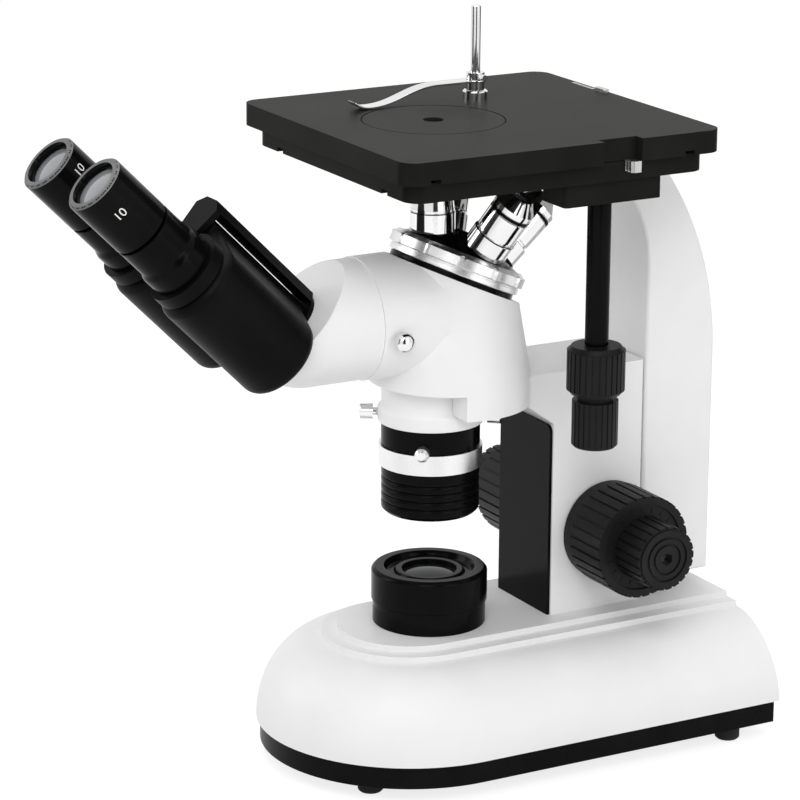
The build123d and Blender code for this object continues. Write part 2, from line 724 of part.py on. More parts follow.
def focus_axis(shape, side=1):
    """Place a piece drawn along +Z on the focus axis, to the right or to the left."""
    placed = Rot(0, 90, 0) * shape
    if side < 0:
        placed = mirror(placed, Plane.YZ)
    return Pos(0, FOCUS_Y, FOCUS_Z) * placed


def coarse_shaft():
    """Hollow shaft with the pinion cut on its middle."""
    shaft = disc(COARSE_SHAFT_RADIUS, -COARSE_END + DIAL_DEPTH, COARSE_END - DIAL_DEPTH)
    teeth = Rot(0, 0, 90) * gear_outline(FOCUS_MODULE, FOCUS_TEETH)
    shaft += slab(teeth, -PINION_WIDTH / 2, PINION_WIDTH / 2)
    shaft -= disc(FINE_SHAFT_RADIUS + RUN_GAP, -COARSE_END, COARSE_END)
    return focus_axis(shaft)


def coarse_knob(side):
    """Fluted coarse knob with a sunk dial ring on its face."""
    collar = COARSE_LENGTH / 5
    knob = disc(COARSE_RADIUS - 0.8, COARSE_START, COARSE_START + collar)
    knob += slab(ribbed_disc(COARSE_RADIUS, COARSE_RIBS, 0.9), COARSE_START + collar, COARSE_END)
    dial_outer = FINE_RADIUS + DIAL_WIDTH
    knob -= disc(dial_outer, COARSE_END - DIAL_DEPTH, COARSE_END) - disc(
        FINE_RADIUS, COARSE_END - DIAL_DEPTH, COARSE_END
    )
    knob -= disc(COARSE_SHAFT_RADIUS, COARSE_START, COARSE_END)
    return focus_axis(knob, side)


def fine_shaft():
    half = FINE_END - FINE_LENGTH / 4
    return focus_axis(disc(FINE_SHAFT_RADIUS, -half, half))


def fine_knob(side):
    """Fluted fine knob with a grooved face and a hexagon socket."""
    face_groove = 1.0
    knob = slab(ribbed_disc(FINE_RADIUS, FINE_RIBS, 0.8), FINE_START, FINE_END - face_groove)
    knob += disc(FINE_RADIUS - 1.5, FINE_END - face_groove, FINE_END)
    for radius in (FINE_RADIUS * 0.72, FINE_RADIUS * 0.5):
        groove = Circle(radius) - Circle(radius - 1.4)
        knob -= slab(groove, FINE_END - face_groove, FINE_END)
    knob -= slab(RegularPolygon(FINE_SHAFT_RADIUS + 0.4, 6), FINE_END - FINE_LENGTH / 4, FINE_END)
    knob -= disc(FINE_SHAFT_RADIUS, FINE_START, FINE_END - FINE_LENGTH / 4)
    return focus_axis(knob, side)


# Head casting
def head_body():
    """Cast head: a leaning cone over the light path, a side collar and a rear foot."""
    high = NOSE_APEX_Z + 2 * SEAT_START
    top_radius = HEAD_BASE_RADIUS - (high - HEAD_BASE_Z) * HEAD_TAPER
    cone = Pos(0, HEAD_Y, HEAD_BASE_Z) * Cone(
        HEAD_BASE_RADIUS, top_radius, high - HEAD_BASE_Z, align=BOTTOM
    )
    skirt = disc(HEAD_BASE_RADIUS, SKIRT_Z, HEAD_BASE_Z, y=HEAD_Y)
    reach = HEAD_BASE_RADIUS + 1
    skirt &= block((-reach, reach), (SKIRT_FRONT_Y, HEAD_Y + reach), (SKIRT_Z, HEAD_BASE_Z))
    foot = block(
        (-BLOCK_HALF_WIDTH, BLOCK_HALF_WIDTH), (HEAD_Y, NOSE_FRONT_Y), (SKIRT_Z, BLOCK_TOP_Z)
    )
    collar = Pos(0, TUBE_COLLAR_Y, TUBE_Z) * Rot(-90, 0, 0) * disc(
        TUBE_COLLAR_RADIUS, 0, HEAD_Y - TUBE_COLLAR_Y
    )
    body = cone + skirt + foot + collar
    body -= block((-reach, reach), (NOSE_FRONT_Y, HEAD_Y + reach), (SKIRT_Z, BLOCK_TOP_Z))
    above = NOSE * disc(3 * HEAD_BASE_RADIUS, SEAT_START, 3 * HEAD_BASE_RADIUS)
    body -= above
    body -= disc(NECK_RADIUS + SLIDE_GAP, SKIRT_Z, HEAD_BASE_Z)
    body -= disc(LIGHT_BORE, HEAD_BASE_Z, high)
    body -= Pos(0, TUBE_COLLAR_Y, TUBE_Z) * Rot(-90, 0, 0) * disc(VIEW_BORE, 0, -TUBE_COLLAR_Y)
    return body


def head_lock_screw():
    """Chrome thumb screw that clamps the viewing tube in the head's collar."""
    edge = 0.8
    start = TUBE_COLLAR_RADIUS - 0.6
    head = lathe([
        (0, start),
        (LOCK_SCREW_RADIUS * 0.6, start),
        (LOCK_SCREW_RADIUS * 0.6, start + LOCK_SCREW_LENGTH / 3),
        (LOCK_SCREW_RADIUS, start + LOCK_SCREW_LENGTH / 3),
        (LOCK_SCREW_RADIUS, start + LOCK_SCREW_LENGTH - edge),
        (LOCK_SCREW_RADIUS - edge, start + LOCK_SCREW_LENGTH),
        (0, start + LOCK_SCREW_LENGTH),
    ])
    screw = along_x(head, y=LOCK_SCREW_Y, z=TUBE_Z - LOCK_SCREW_RADIUS)
    collar = Pos(0, TUBE_COLLAR_Y, TUBE_Z) * Rot(-90, 0, 0) * disc(
        TUBE_COLLAR_RADIUS, 0, HEAD_Y - TUBE_COLLAR_Y
    )
    return screw - collar


def beam_splitter():
    """Slanted plate in the head that turns the light to the viewing tube."""
    plate = Pos(0, 0, TUBE_Z) * Rot(45, 0, 0) * Box(3 * LIGHT_BORE, 4 * LIGHT_BORE, GLASS_THICKNESS)
    return plate & disc(LIGHT_BORE, TUBE_Z - 2 * LIGHT_BORE, TUBE_Z + 2 * LIGHT_BORE)


def elbow_form(radius, end):
    """Level tube with a ball knee and a short rise, cut square to the eyepieces."""
    form = Pos(0, TUBE_COLLAR_Y, TUBE_Z) * Rot(90, 0, 0) * disc(radius, 0, TUBE_COLLAR_Y - ELBOW_Y)
    form += Pos(0, ELBOW_Y, TUBE_Z) * Sphere(radius)
    form += VIEW * disc(radius, 0, end)
    return form - VIEW * disc(3 * radius, end, 3 * radius)


def viewing_elbow():
    tube = elbow_form(TUBE_RADIUS, ELBOW_FACE) - elbow_form(VIEW_BORE, ELBOW_FACE - ELBOW_WALL)
    return tube - VIEW * disc(AXLE_BORE, 0, ELBOW_FACE)


def elbow_mirror():
    """Plane mirror across the elbow's bend."""
    lean = 90 - VIEW_TILT / 2
    radius = VIEW_BORE * 0.8
    back = VIEW_BORE * 0.55
    glass = Pos(0, 0, -back) * Cylinder(radius, GLASS_THICKNESS)
    plate = glass + Pos(0, 0, -back) * Box(2 * VIEW_BORE, 3.0, GLASS_THICKNESS)
    placed = Pos(0, ELBOW_Y, TUBE_Z) * Rot(-lean + 90, 0, 0) * Rot(90, 0, 0) * plate
    return placed & elbow_form(VIEW_BORE, ELBOW_FACE - ELBOW_WALL)


# Illuminator
CONDENSER_RADIUS = LOWER_TUBE_RADIUS - TUBE_WALL


def illuminator_collar():
    bore = LIGHT_BORE
    return lathe([
        (bore, COLLAR_BOTTOM_Z),
        (COLLAR_RADIUS, COLLAR_BOTTOM_Z),
        (COLLAR_RADIUS, COLLAR_TOP_Z - 1.5),
        (NECK_RADIUS, COLLAR_TOP_Z),
        (NECK_RADIUS, HEAD_BASE_Z),
        (bore, HEAD_BASE_Z),
    ])


def centring_screws():
    """Two screws through the collar's rim that centre the light."""
    edge = 0.6
    start = COLLAR_RADIUS - 0.3
    head_start = start + CENTRING_STEM_LENGTH
    head_end = head_start + CENTRING_HEAD_LENGTH
    screw = lathe([
        (0, start),
        (CENTRING_STEM_RADIUS, start),
        (CENTRING_STEM_RADIUS, head_start),
        (CENTRING_HEAD_RADIUS, head_start),
        (CENTRING_HEAD_RADIUS, head_end - edge),
        (CENTRING_HEAD_RADIUS - edge, head_end),
        (0, head_end),
    ])
    middle = (COLLAR_BOTTOM_Z + COLLAR_TOP_Z - 1.5) / 2
    rim = disc(COLLAR_RADIUS, COLLAR_BOTTOM_Z, COLLAR_TOP_Z)
    return [Rot(0, 0, angle) * along_x(screw, z=middle) - rim for angle in CENTRING_ANGLES]


def illuminator_tube():
    """Black tube with a seat for the iris ring and a grooved grip below it."""
    iris_bottom = IRIS_TOP_Z - IRIS_HEIGHT
    bore = LOWER_TUBE_RADIUS - TUBE_WALL
    ledge = 2.0
    points = [
        (bore, COLLAR_BOTTOM_Z),
        (bore, TUBE_BOTTOM_Z + TUBE_WALL),
        (bore - ledge, TUBE_BOTTOM_Z + TUBE_WALL),
        (bore - ledge, TUBE_BOTTOM_Z),
        (LOWER_TUBE_RADIUS - ledge, TUBE_BOTTOM_Z),
        (LOWER_TUBE_RADIUS, TUBE_BOTTOM_Z + ledge),
    ]
    grip = iris_bottom - TUBE_BOTTOM_Z - 2 * ledge
    pitch = grip / (TUBE_GROOVES + 1)
    for groove in range(TUBE_GROOVES):
        middle = TUBE_BOTTOM_Z + ledge + pitch * (groove + 1)
        for rise, depth in ((-0.8, 0), (-0.4, TUBE_GROOVE_DEPTH), (0.4, TUBE_GROOVE_DEPTH), (0.8, 0)):
            points.append((LOWER_TUBE_RADIUS - depth, middle + rise))
    points += [
        (LOWER_TUBE_RADIUS, iris_bottom),
        (IRIS_SEAT_RADIUS, iris_bottom),
        (IRIS_SEAT_RADIUS, IRIS_TOP_Z),
        (UPPER_TUBE_RADIUS, IRIS_TOP_Z),
        (UPPER_TUBE_RADIUS, COLLAR_BOTTOM_Z),
    ]
    return lathe(points)


def iris_ring():
    """Chrome ring of the aperture iris, with its finger stud."""
    low = IRIS_TOP_Z - IRIS_HEIGHT + SLIDE_GAP
    high = IRIS_TOP_Z - SLIDE_GAP
    bore = IRIS_SEAT_RADIUS + RUN_GAP
    ring = disc(IRIS_RADIUS, low, high) - disc(bore, low, high)
    lug_z = high + IRIS_LEVER_RADIUS / 2
    stud_start = UPPER_TUBE_RADIUS + SLIDE_GAP
    stud = lathe([
        (0, stud_start),
        (IRIS_LEVER_RADIUS, stud_start),
        (IRIS_LEVER_RADIUS, IRIS_RADIUS + IRIS_LEVER_LENGTH - 2),
        (IRIS_LEVER_RADIUS - 1.6, IRIS_RADIUS + IRIS_LEVER_LENGTH),
        (0, IRIS_RADIUS + IRIS_LEVER_LENGTH),
    ])
    return ring + Rot(0, 0, IRIS_LEVER_ANGLE) * along_x(stud, z=lug_z)


# Nosepiece
def nosepiece_seat():
    return NOSE * (
        disc(SEAT_RADIUS, SEAT_START, SEAT_START + SEAT_HEIGHT)
        - disc(LIGHT_BORE + 8, SEAT_START, SEAT_START + SEAT_HEIGHT)
    )


def nosepiece_ring():
    """Chrome grip ring of the turret, with wide notches round its rim."""
    inner = RING_RADIUS - RING_WALL
    high = RING_START + RING_HEIGHT
    flange_top = RING_START + RING_FLANGE_HEIGHT
    rim = slab(ribbed_disc(RING_RADIUS, RING_GRIPS, 0.5), flange_top, high)
    ring = disc(RING_FLANGE_RADIUS, RING_START, flange_top) + rim
    return NOSE * (ring - disc(inner, RING_START, high))


def turret():
    """Shallow black cone with a flat for each objective."""
    shoulder_r = OBJECTIVE_START * sin(tilt)
    shoulder_s = OBJECTIVE_START * cos(tilt)
    outer = RING_RADIUS - RING_WALL
    outer_s = shoulder_s - (outer - shoulder_r) * tan(tilt)
    inner_s = shoulder_s + (shoulder_r - TURRET_TOP_RADIUS) * tan(tilt)
    low = RING_START + RING_FLANGE_HEIGHT / 2
    cone = lathe([
        (0, low),
        (outer, low),
        (outer, outer_s),
        (TURRET_TOP_RADIUS, inner_s),
        (0, inner_s),
    ])
    bodies = cone
    for index in range(OBJECTIVE_COUNT):
        spot = Rot(0, 0, index * 360 / OBJECTIVE_COUNT) * Rot(NOSE_TILT, 0, 0)
        bodies += spot * disc(OBJECTIVE_RADIUS - 1, OBJECTIVE_START - 4, OBJECTIVE_START)
        bodies -= spot * disc(OBJECTIVE_TIP_RADII[-1], 0, OBJECTIVE_START + OBJECTIVE_RADIUS)
    return NOSE * bodies


def objective(index):
    """Objective with a knurled shoulder, a barrel and a tapered nose."""
    length = OBJECTIVE_LENGTHS[index]
    tip = OBJECTIVE_TIP_RADII[index]
    taper = length - OBJECTIVE_BARREL_RADIUS + tip - 2
    body = lathe([
        (tip * 0.5, 0),
        (OBJECTIVE_RADIUS, 0),
        (OBJECTIVE_RADIUS, OBJECTIVE_SHOULDER),
        (OBJECTIVE_BARREL_RADIUS, OBJECTIVE_SHOULDER + 0.6),
        (OBJECTIVE_BARREL_RADIUS, taper),
        (tip + 1, length - 1.5),
        (tip, length),
        (tip * 0.5, length),
    ])
    spot = Rot(0, 0, index * 360 / OBJECTIVE_COUNT) * Rot(NOSE_TILT, 0, 0)
    return NOSE * spot * Pos(0, 0, OBJECTIVE_START) * body


# Stage
def rail(place, span, low, play=0.0):
    """Square guide rail along Y, or its groove when it is given play."""
    half = RAIL_WIDTH / 2 + play
    x, y = place
    return block((x - half, x + half), (y + span[0], y + span[1]), (low, low + RAIL_HEIGHT + play))


def cross_rail(y, half_length, low, play=0.0):
    """Square guide rail along X, or its groove when it is given play."""
    return Pos(0, y, 0) * Rot(0, 0, 90) * rail((0, 0), (-half_length, half_length), low, play)


def stage_bracket():
    """Fork plate on top of the arm that carries the stage."""
    plate = rectangle(
        (-BRACKET_HALF_WIDTH, BRACKET_HALF_WIDTH), (BRACKET_FRONT_Y, ARM_TOP_BACK_Y), OPENING_CORNER / 2
    )
    plate -= rectangle(
        (-BRACKET_OPENING_HALF_WIDTH, BRACKET_OPENING_HALF_WIDTH),
        (BRACKET_OPENING_FRONT_Y, BRACKET_OPENING_BACK_Y),
        OPENING_CORNER,
    )
    body = slab(plate, ARM_TOP_Z, BRACKET_TOP_Z)
    for side in (-1, 1):
        body += rail(
            (side * Y_RAIL_X, 0), (BRACKET_FRONT_Y + RAIL_WIDTH, ARM_TOP_BACK_Y - RAIL_WIDTH), BRACKET_TOP_Z
        )
    return body


Y_RACK_LINE_X = DRIVE_X - DRIVE_PITCH_RADIUS
Y_PINION_Z = ARM_TOP_Z + (BRACKET_THICKNESS - Y_PINION_HEIGHT) / 2
X_RACK_LINE_Y = DRIVE_Y + DRIVE_PITCH_RADIUS
X_PINION_Z = LOWER_PLATE_TOP_Z - X_PINION_HEIGHT - SLIDE_GAP


def y_rack():
    """Rack screwed to the bracket's right edge, for the front-to-back drive."""
    pitch = pi * DRIVE_MODULE
    count = 2 * int((Y_TRAVEL + 2 * DRIVE_PITCH_RADIUS) / pitch)
    backing = Y_RACK_LINE_X - TOOTH_DEDENDUM * DRIVE_MODULE - BRACKET_HALF_WIDTH
    teeth = rack_outline(DRIVE_MODULE, count, backing)
    place = Pos(Y_RACK_LINE_X, DRIVE_Y, 0) * Rot(0, 0, 180)
    return slab(place * teeth, Y_PINION_Z, Y_PINION_Z + Y_PINION_HEIGHT)


def x_rack():
    """Rack under the top plate, for the side-to-side drive."""
    pitch = pi * DRIVE_MODULE
    count = 2 * int((X_TRAVEL + DRIVE_PITCH_RADIUS) / pitch)
    teeth = rack_outline(DRIVE_MODULE, count, RACK_DEPTH)
    place = Pos(DRIVE_X, X_RACK_LINE_Y, 0) * Rot(0, 0, 90)
    return slab(place * teeth, X_PINION_Z, TOP_PLATE_Z)


def lower_plate():
    """Middle plate of the stage, with a pocket for the cross drive's rack."""
    inset = LOWER_PLATE_INSET
    right = STAGE_HALF_WIDTH - inset
    plate = rectangle((-right, right), (STAGE_FRONT_Y + inset, STAGE_BACK_Y - inset), STAGE_CORNER)
    plate -= rectangle(
        (-LOWER_OPENING_HALF_WIDTH, LOWER_OPENING_HALF_WIDTH),
        (LOWER_OPENING_FRONT_Y, LOWER_OPENING_BACK_Y - DRIVE_PITCH_RADIUS),
        OPENING_CORNER,
    )
    body = slab(plate, LOWER_PLATE_Z, LOWER_PLATE_TOP_Z)
    tip = DRIVE_PITCH_RADIUS + TOOTH_ADDENDUM * DRIVE_MODULE
    pocket_z = X_PINION_Z - SLIDE_GAP
    body -= disc(tip + PART_GAP, pocket_z, LOWER_PLATE_TOP_Z, DRIVE_X, DRIVE_Y)
    tooth_tip_y = X_RACK_LINE_Y - TOOTH_ADDENDUM * DRIVE_MODULE
    rack_back_y = X_RACK_LINE_Y + TOOTH_DEDENDUM * DRIVE_MODULE + RACK_DEPTH
    slot_start = DRIVE_X - 2 * X_TRAVEL - DRIVE_PITCH_RADIUS - PART_GAP
    body -= block(
        (slot_start, STAGE_HALF_WIDTH),
        (tooth_tip_y - PART_GAP, rack_back_y + PART_GAP),
        (pocket_z, LOWER_PLATE_TOP_Z),
    )
    body -= disc(X_SHAFT_RADIUS + RUN_GAP, LOWER_PLATE_Z, pocket_z, DRIVE_X, DRIVE_Y)
    for side in (-1, 1):
        groove = ((side * Y_RAIL_X, 0), (STAGE_FRONT_Y, STAGE_BACK_Y), LOWER_PLATE_Z - SLIDE_GAP)
        body -= rail(*groove, SLIDE_GAP)
    for y in (X_RAIL_FRONT_Y, X_RAIL_BACK_Y):
        body += cross_rail(y, X_RAIL_HALF_LENGTH, LOWER_PLATE_TOP_Z)
    return body


def top_plate():
    """Top plate of the stage, with the ledge that holds the round insert."""
    plate = rectangle(
        (-STAGE_HALF_WIDTH, STAGE_HALF_WIDTH), (STAGE_FRONT_Y, STAGE_BACK_Y), STAGE_CORNER
    )
    body = slab(plate, TOP_PLATE_Z, STAGE_TOP_Z)
    for y in (X_RAIL_FRONT_Y, X_RAIL_BACK_Y):
        body -= cross_rail(y, STAGE_HALF_WIDTH, TOP_PLATE_Z - SLIDE_GAP, SLIDE_GAP)
    body -= block(
        (STAGE_HALF_WIDTH - INDEX_NOTCH_DEPTH, STAGE_HALF_WIDTH),
        (DRIVE_Y - INDEX_NOTCH_WIDTH / 2, DRIVE_Y + INDEX_NOTCH_WIDTH / 2),
        (TOP_PLATE_Z, STAGE_TOP_Z),
    )
    body -= disc(INSERT_RADIUS - INSERT_LEDGE, TOP_PLATE_Z, STAGE_TOP_Z)
    return body - disc(INSERT_RADIUS + SLIDE_GAP, STAGE_TOP_Z - INSERT_THICKNESS, STAGE_TOP_Z)


def stage_insert():
    low = STAGE_TOP_Z - INSERT_THICKNESS
    return disc(INSERT_RADIUS, low, STAGE_TOP_Z) - disc(INSERT_HOLE_RADIUS, low, STAGE_TOP_Z)


def drive_block():
    """Gear case under the middle plate, open towards the rack on its left."""
    half = DRIVE_BLOCK_HALF_WIDTH
    tip = DRIVE_PITCH_RADIUS + TOOTH_ADDENDUM * DRIVE_MODULE
    body = block(
        (DRIVE_X - half, DRIVE_X + half),
        (DRIVE_BLOCK_FRONT_Y, DRIVE_BLOCK_BACK_Y),
        (DRIVE_BLOCK_BOTTOM_Z, LOWER_PLATE_Z),
    )
    body = fillet(body.edges().filter_by(Axis.Z), 2.0)
    body -= block(
        (DRIVE_X - half, Y_RACK_LINE_X + TOOTH_ADDENDUM * DRIVE_MODULE + PART_GAP),
        (DRIVE_BLOCK_FRONT_Y, DRIVE_BLOCK_BACK_Y),
        (ARM_TOP_Z - PART_GAP, LOWER_PLATE_Z),
    )
    body -= disc(tip + PART_GAP, ARM_TOP_Z - PART_GAP, LOWER_PLATE_Z, DRIVE_X, DRIVE_Y)
    body -= disc(Y_SHAFT_RADIUS + RUN_GAP, DRIVE_BLOCK_BOTTOM_Z, LOWER_PLATE_Z, DRIVE_X, DRIVE_Y)
    return body


def drive_sleeve():
    """Fixed outer tube round the two drive shafts."""
    low = Y_KNOB_TOP_Z + SLIDE_GAP
    sleeve = disc(SLEEVE_RADIUS, low, DRIVE_BLOCK_BOTTOM_Z, DRIVE_X, DRIVE_Y)
    return sleeve - disc(Y_SHAFT_RADIUS + RUN_GAP, low, DRIVE_BLOCK_BOTTOM_Z, DRIVE_X, DRIVE_Y)


Y_KNOB_BOTTOM_Z = Y_KNOB_TOP_Z - Y_KNOB_HEIGHT
X_KNOB_TOP_Z = Y_KNOB_BOTTOM_Z - SLIDE_GAP
X_KNOB_BOTTOM_Z = X_KNOB_TOP_Z - X_KNOB_NECK - X_KNOB_HEIGHT


def y_shaft():
    """Tube shaft of the front-to-back drive, with its pinion."""
    top = LOWER_PLATE_Z - SLIDE_GAP
    shaft = disc(Y_SHAFT_RADIUS, Y_KNOB_BOTTOM_Z, top)
    teeth = Rot(0, 0, 180) * gear_outline(DRIVE_MODULE, DRIVE_TEETH)
    shaft += slab(teeth, Y_PINION_Z, Y_PINION_Z + Y_PINION_HEIGHT)
    shaft -= disc(X_SHAFT_RADIUS + RUN_GAP, Y_KNOB_BOTTOM_Z, top)
    return Pos(DRIVE_X, DRIVE_Y, 0) * shaft


def y_knob():
    grip = slab(
        ribbed_disc(Y_KNOB_RADIUS, 28, 0.5), Y_KNOB_BOTTOM_Z + KNOB_CHAMFER, Y_KNOB_TOP_Z - KNOB_CHAMFER
    )
    waist = Y_KNOB_RADIUS - KNOB_CHAMFER
    rim = Y_KNOB_RADIUS - 0.5
    grip += Pos(0, 0, Y_KNOB_TOP_Z - KNOB_CHAMFER) * Cone(rim, waist, KNOB_CHAMFER, align=BOTTOM)
    grip += Pos(0, 0, Y_KNOB_BOTTOM_Z) * Cone(waist, rim, KNOB_CHAMFER, align=BOTTOM)
    grip -= disc(Y_SHAFT_RADIUS, Y_KNOB_BOTTOM_Z, Y_KNOB_TOP_Z)
    return Pos(DRIVE_X, DRIVE_Y, 0) * grip


def x_shaft():
    """Inner shaft of the side-to-side drive, with its pinion on top."""
    low = X_KNOB_BOTTOM_Z + X_KNOB_HEIGHT / 2
    shaft = disc(X_SHAFT_RADIUS, low, X_PINION_Z)
    teeth = Rot(0, 0, 90) * gear_outline(DRIVE_MODULE, DRIVE_TEETH)
    shaft += slab(teeth, X_PINION_Z, X_PINION_Z + X_PINION_HEIGHT)
    return Pos(DRIVE_X, DRIVE_Y, 0) * shaft


def x_knob():
    low = X_KNOB_BOTTOM_Z
    grip_top = low + X_KNOB_HEIGHT
    grip = slab(ribbed_disc(X_KNOB_RADIUS, 24, 0.5), low + KNOB_CHAMFER / 2, grip_top)
    grip += Pos(0, 0, low) * Cone(
        X_KNOB_RADIUS - KNOB_CHAMFER / 2, X_KNOB_RADIUS - 0.5, KNOB_CHAMFER / 2, align=BOTTOM
    )
    grip += disc(X_KNOB_NECK_RADIUS, grip_top, X_KNOB_TOP_Z)
    grip -= disc(X_SHAFT_RADIUS, low + X_KNOB_HEIGHT / 2, X_KNOB_TOP_Z)
    return Pos(DRIVE_X, DRIVE_Y, 0) * grip


# Specimen clip
CLIP_COLLAR_Z = STAGE_TOP_Z + POST_FOOT_HEIGHT + SLIDE_GAP


def clip_post():
    foot_top = STAGE_TOP_Z + POST_FOOT_HEIGHT
    edge = 0.6
    post = lathe([
        (0, STAGE_TOP_Z),
        (POST_FOOT_RADIUS, STAGE_TOP_Z),
        (POST_FOOT_RADIUS, foot_top - edge),
        (POST_FOOT_RADIUS - edge, foot_top),
        (POST_RADIUS, foot_top),
        (POST_RADIUS, STAGE_TOP_Z + POST_HEIGHT - edge),
        (POST_RADIUS - edge, STAGE_TOP_Z + POST_HEIGHT),
        (0, STAGE_TOP_Z + POST_HEIGHT),
    ])
    return Pos(POST_X, POST_Y, 0) * post


CLIP_SEAT_Z = CLIP_COLLAR_Z + CLIP_COLLAR_HEIGHT * 0.45


def clip_collar():
    """Collar that slides on the post, with a thin waist for the spring and a screw."""
    waist = CLIP_COLLAR_RADIUS - 1.4
    top = CLIP_COLLAR_Z + CLIP_COLLAR_HEIGHT
    band = CLIP_SEAT_Z + CLIP_THICKNESS + SLIDE_GAP
    collar = lathe([
        (POST_RADIUS + RUN_GAP, CLIP_COLLAR_Z),
        (CLIP_COLLAR_RADIUS, CLIP_COLLAR_Z),
        (CLIP_COLLAR_RADIUS, CLIP_SEAT_Z),
        (waist, CLIP_SEAT_Z),
        (waist, band),
        (CLIP_COLLAR_RADIUS, band),
        (CLIP_COLLAR_RADIUS, top),
        (POST_RADIUS + RUN_GAP, top),
    ])
    screw = disc(CLIP_SCREW_RADIUS, CLIP_COLLAR_RADIUS - 0.5, CLIP_COLLAR_RADIUS + CLIP_SCREW_LENGTH)
    collar += along_x(screw, z=(band + top) / 2)
    return Pos(POST_X, POST_Y, 0) * collar


def clip_arm():
    """Bent spring leaf that swings on the collar and ends in an upturned toe."""
    high = CLIP_SEAT_Z + SLIDE_GAP / 2
    low = STAGE_TOP_Z + SLIDE_GAP
    waist = CLIP_COLLAR_RADIUS - 1.4 + RUN_GAP
    drop_run = (CLIP_REACH - CLIP_SPAN_HIGH - CLIP_TIP) / 2
    spine = Polyline((-CLIP_SPAN_HIGH, high), (0, high))
    fall = Spline(
        (-CLIP_REACH + CLIP_TIP, low),
        (-CLIP_SPAN_HIGH - drop_run, (high + low) / 2),
        (-CLIP_SPAN_HIGH, high),
        tangents=[(1, 0), (1, 0)],
    )
    toe = Spline(
        (-CLIP_REACH, low + CLIP_TIP / 3),
        (-CLIP_REACH + CLIP_TIP, low),
        tangents=[(1, -0.8), (1, 0)],
    )
    lower = [toe, fall, *spine.edges()]
    upper = [Pos(0, CLIP_THICKNESS) * edge for edge in lower]
    ends = [
        Line((-CLIP_REACH, low + CLIP_TIP / 3), (-CLIP_REACH, low + CLIP_TIP / 3 + CLIP_THICKNESS)),
        Line((0, high), (0, high + CLIP_THICKNESS)),
    ]
    leaf = side_slab(make_face([*lower, *upper, *ends]), CLIP_WIDTH / 2)
    eye = disc(CLIP_COLLAR_RADIUS + 1, high, high + CLIP_THICKNESS)
    leaf = leaf + eye - disc(waist, high, high + CLIP_THICKNESS)
    return Pos(POST_X, POST_Y, 0) * leaf


# Binocular tube
def binocular_hinge():
    """Hinge of the two prism housings: back disc, axle, top spine and front cap."""
    face = ELBOW_FACE + HINGE_DISC
    end = HOUSING_END + PART_GAP + HINGE_CAP
    spine = make_face(Polyline(
        (-SPINE_HALF_WIDTH, SPINE_BOTTOM),
        (0, HUB_RADIUS + SPINE_GAP),
        (SPINE_HALF_WIDTH, SPINE_BOTTOM),
        (SPINE_TOP_HALF_WIDTH, SPINE_TOP),
        (-SPINE_TOP_HALF_WIDTH, SPINE_TOP),
        close=True,
    ))
    cap = make_hull([*Circle(HUB_RADIUS).edges(), *spine.edges()])
    hinge = disc(HINGE_DISC_RADIUS, ELBOW_FACE, face)
    hinge += disc(AXLE_RADIUS, face, end)
    hinge += slab(spine, face, end)
    hinge += slab(cap, end - HINGE_CAP, end)
    hinge -= disc(AXLE_BORE, ELBOW_FACE, end - HINGE_CAP)
    return VIEW * hinge


def prism_housing(side):
    """Swinging prism housing with its hub lugs, flange and eyepiece neck."""
    section = make_hull([
        *Circle(HUB_RADIUS).edges(),
        *(Pos(EYE_HALF_SPACING, -EYE_DROP) * Circle(HOUSING_RADIUS)).edges(),
    ])
    reach = EYE_HALF_SPACING + HOUSING_RADIUS + 1
    own_side = Pos(reach / 2 + PART_GAP, -EYE_DROP) * Rectangle(reach, 4 * HOUSING_RADIUS)
    own_section = section & own_side
    housing = slab(own_section - Circle(HUB_RADIUS + PART_GAP + 0.2), HOUSING_START, HOUSING_END)
    ends = housing.faces().sort_by(Axis.Z)
    edges = ends[0].edges() + ends[-1].edges()
    rims = [edge for edge in edges if edge.center().X > HUB_RADIUS + 3]
    housing = fillet(rims, HOUSING_EDGE)
    lug_section = Circle(HUB_RADIUS) + (own_section & Circle(HUB_RADIUS + 3))
    third = HOUSING_LENGTH / 3
    for index in (0, 2) if side > 0 else (1,):
        low = HOUSING_START + third * index
        housing += slab(lug_section, low + PART_GAP / 2, low + third - PART_GAP / 2)
    housing -= disc(AXLE_RADIUS + RUN_GAP, HOUSING_START, HOUSING_END)
    eye = (EYE_HALF_SPACING, -EYE_DROP)
    flange_end = HOUSING_END + FLANGE_LENGTH
    housing += disc(FLANGE_RADIUS, HOUSING_END, flange_end, *eye)
    neck = EYE_BARREL_RADIUS + RUN_GAP + NECK_WALL
    housing += disc(neck, flange_end, flange_end + NECK_LENGTH, *eye)
    housing -= disc(EYE_BARREL_RADIUS + RUN_GAP, HOUSING_END, flange_end + NECK_LENGTH, *eye)
    if side < 0:
        housing = mirror(housing, Plane.YZ)
    return VIEW * housing


def on_eye(shape, side):
    """Place a piece drawn on Z on one eyepiece axis."""
    return VIEW * Pos(side * EYE_HALF_SPACING, -EYE_DROP, 0) * shape


def eye_sleeve(side):
    """Ribbed sleeve round the eyepiece neck."""
    neck = EYE_BARREL_RADIUS + RUN_GAP + NECK_WALL
    step = 4.0
    grip = EYE_TUBE_START + 9.0
    sleeve = lathe([
        (neck + RUN_GAP, EYE_TUBE_START),
        (EYE_TUBE_RADIUS, EYE_TUBE_START),
        (EYE_TUBE_RADIUS, grip),
        (EYEPIECE_RADIUS, grip + step),
        (EYEPIECE_RADIUS, EYE_TUBE_END),
        (neck + RUN_GAP, EYE_TUBE_END),
    ])
    return on_eye(sleeve, side)


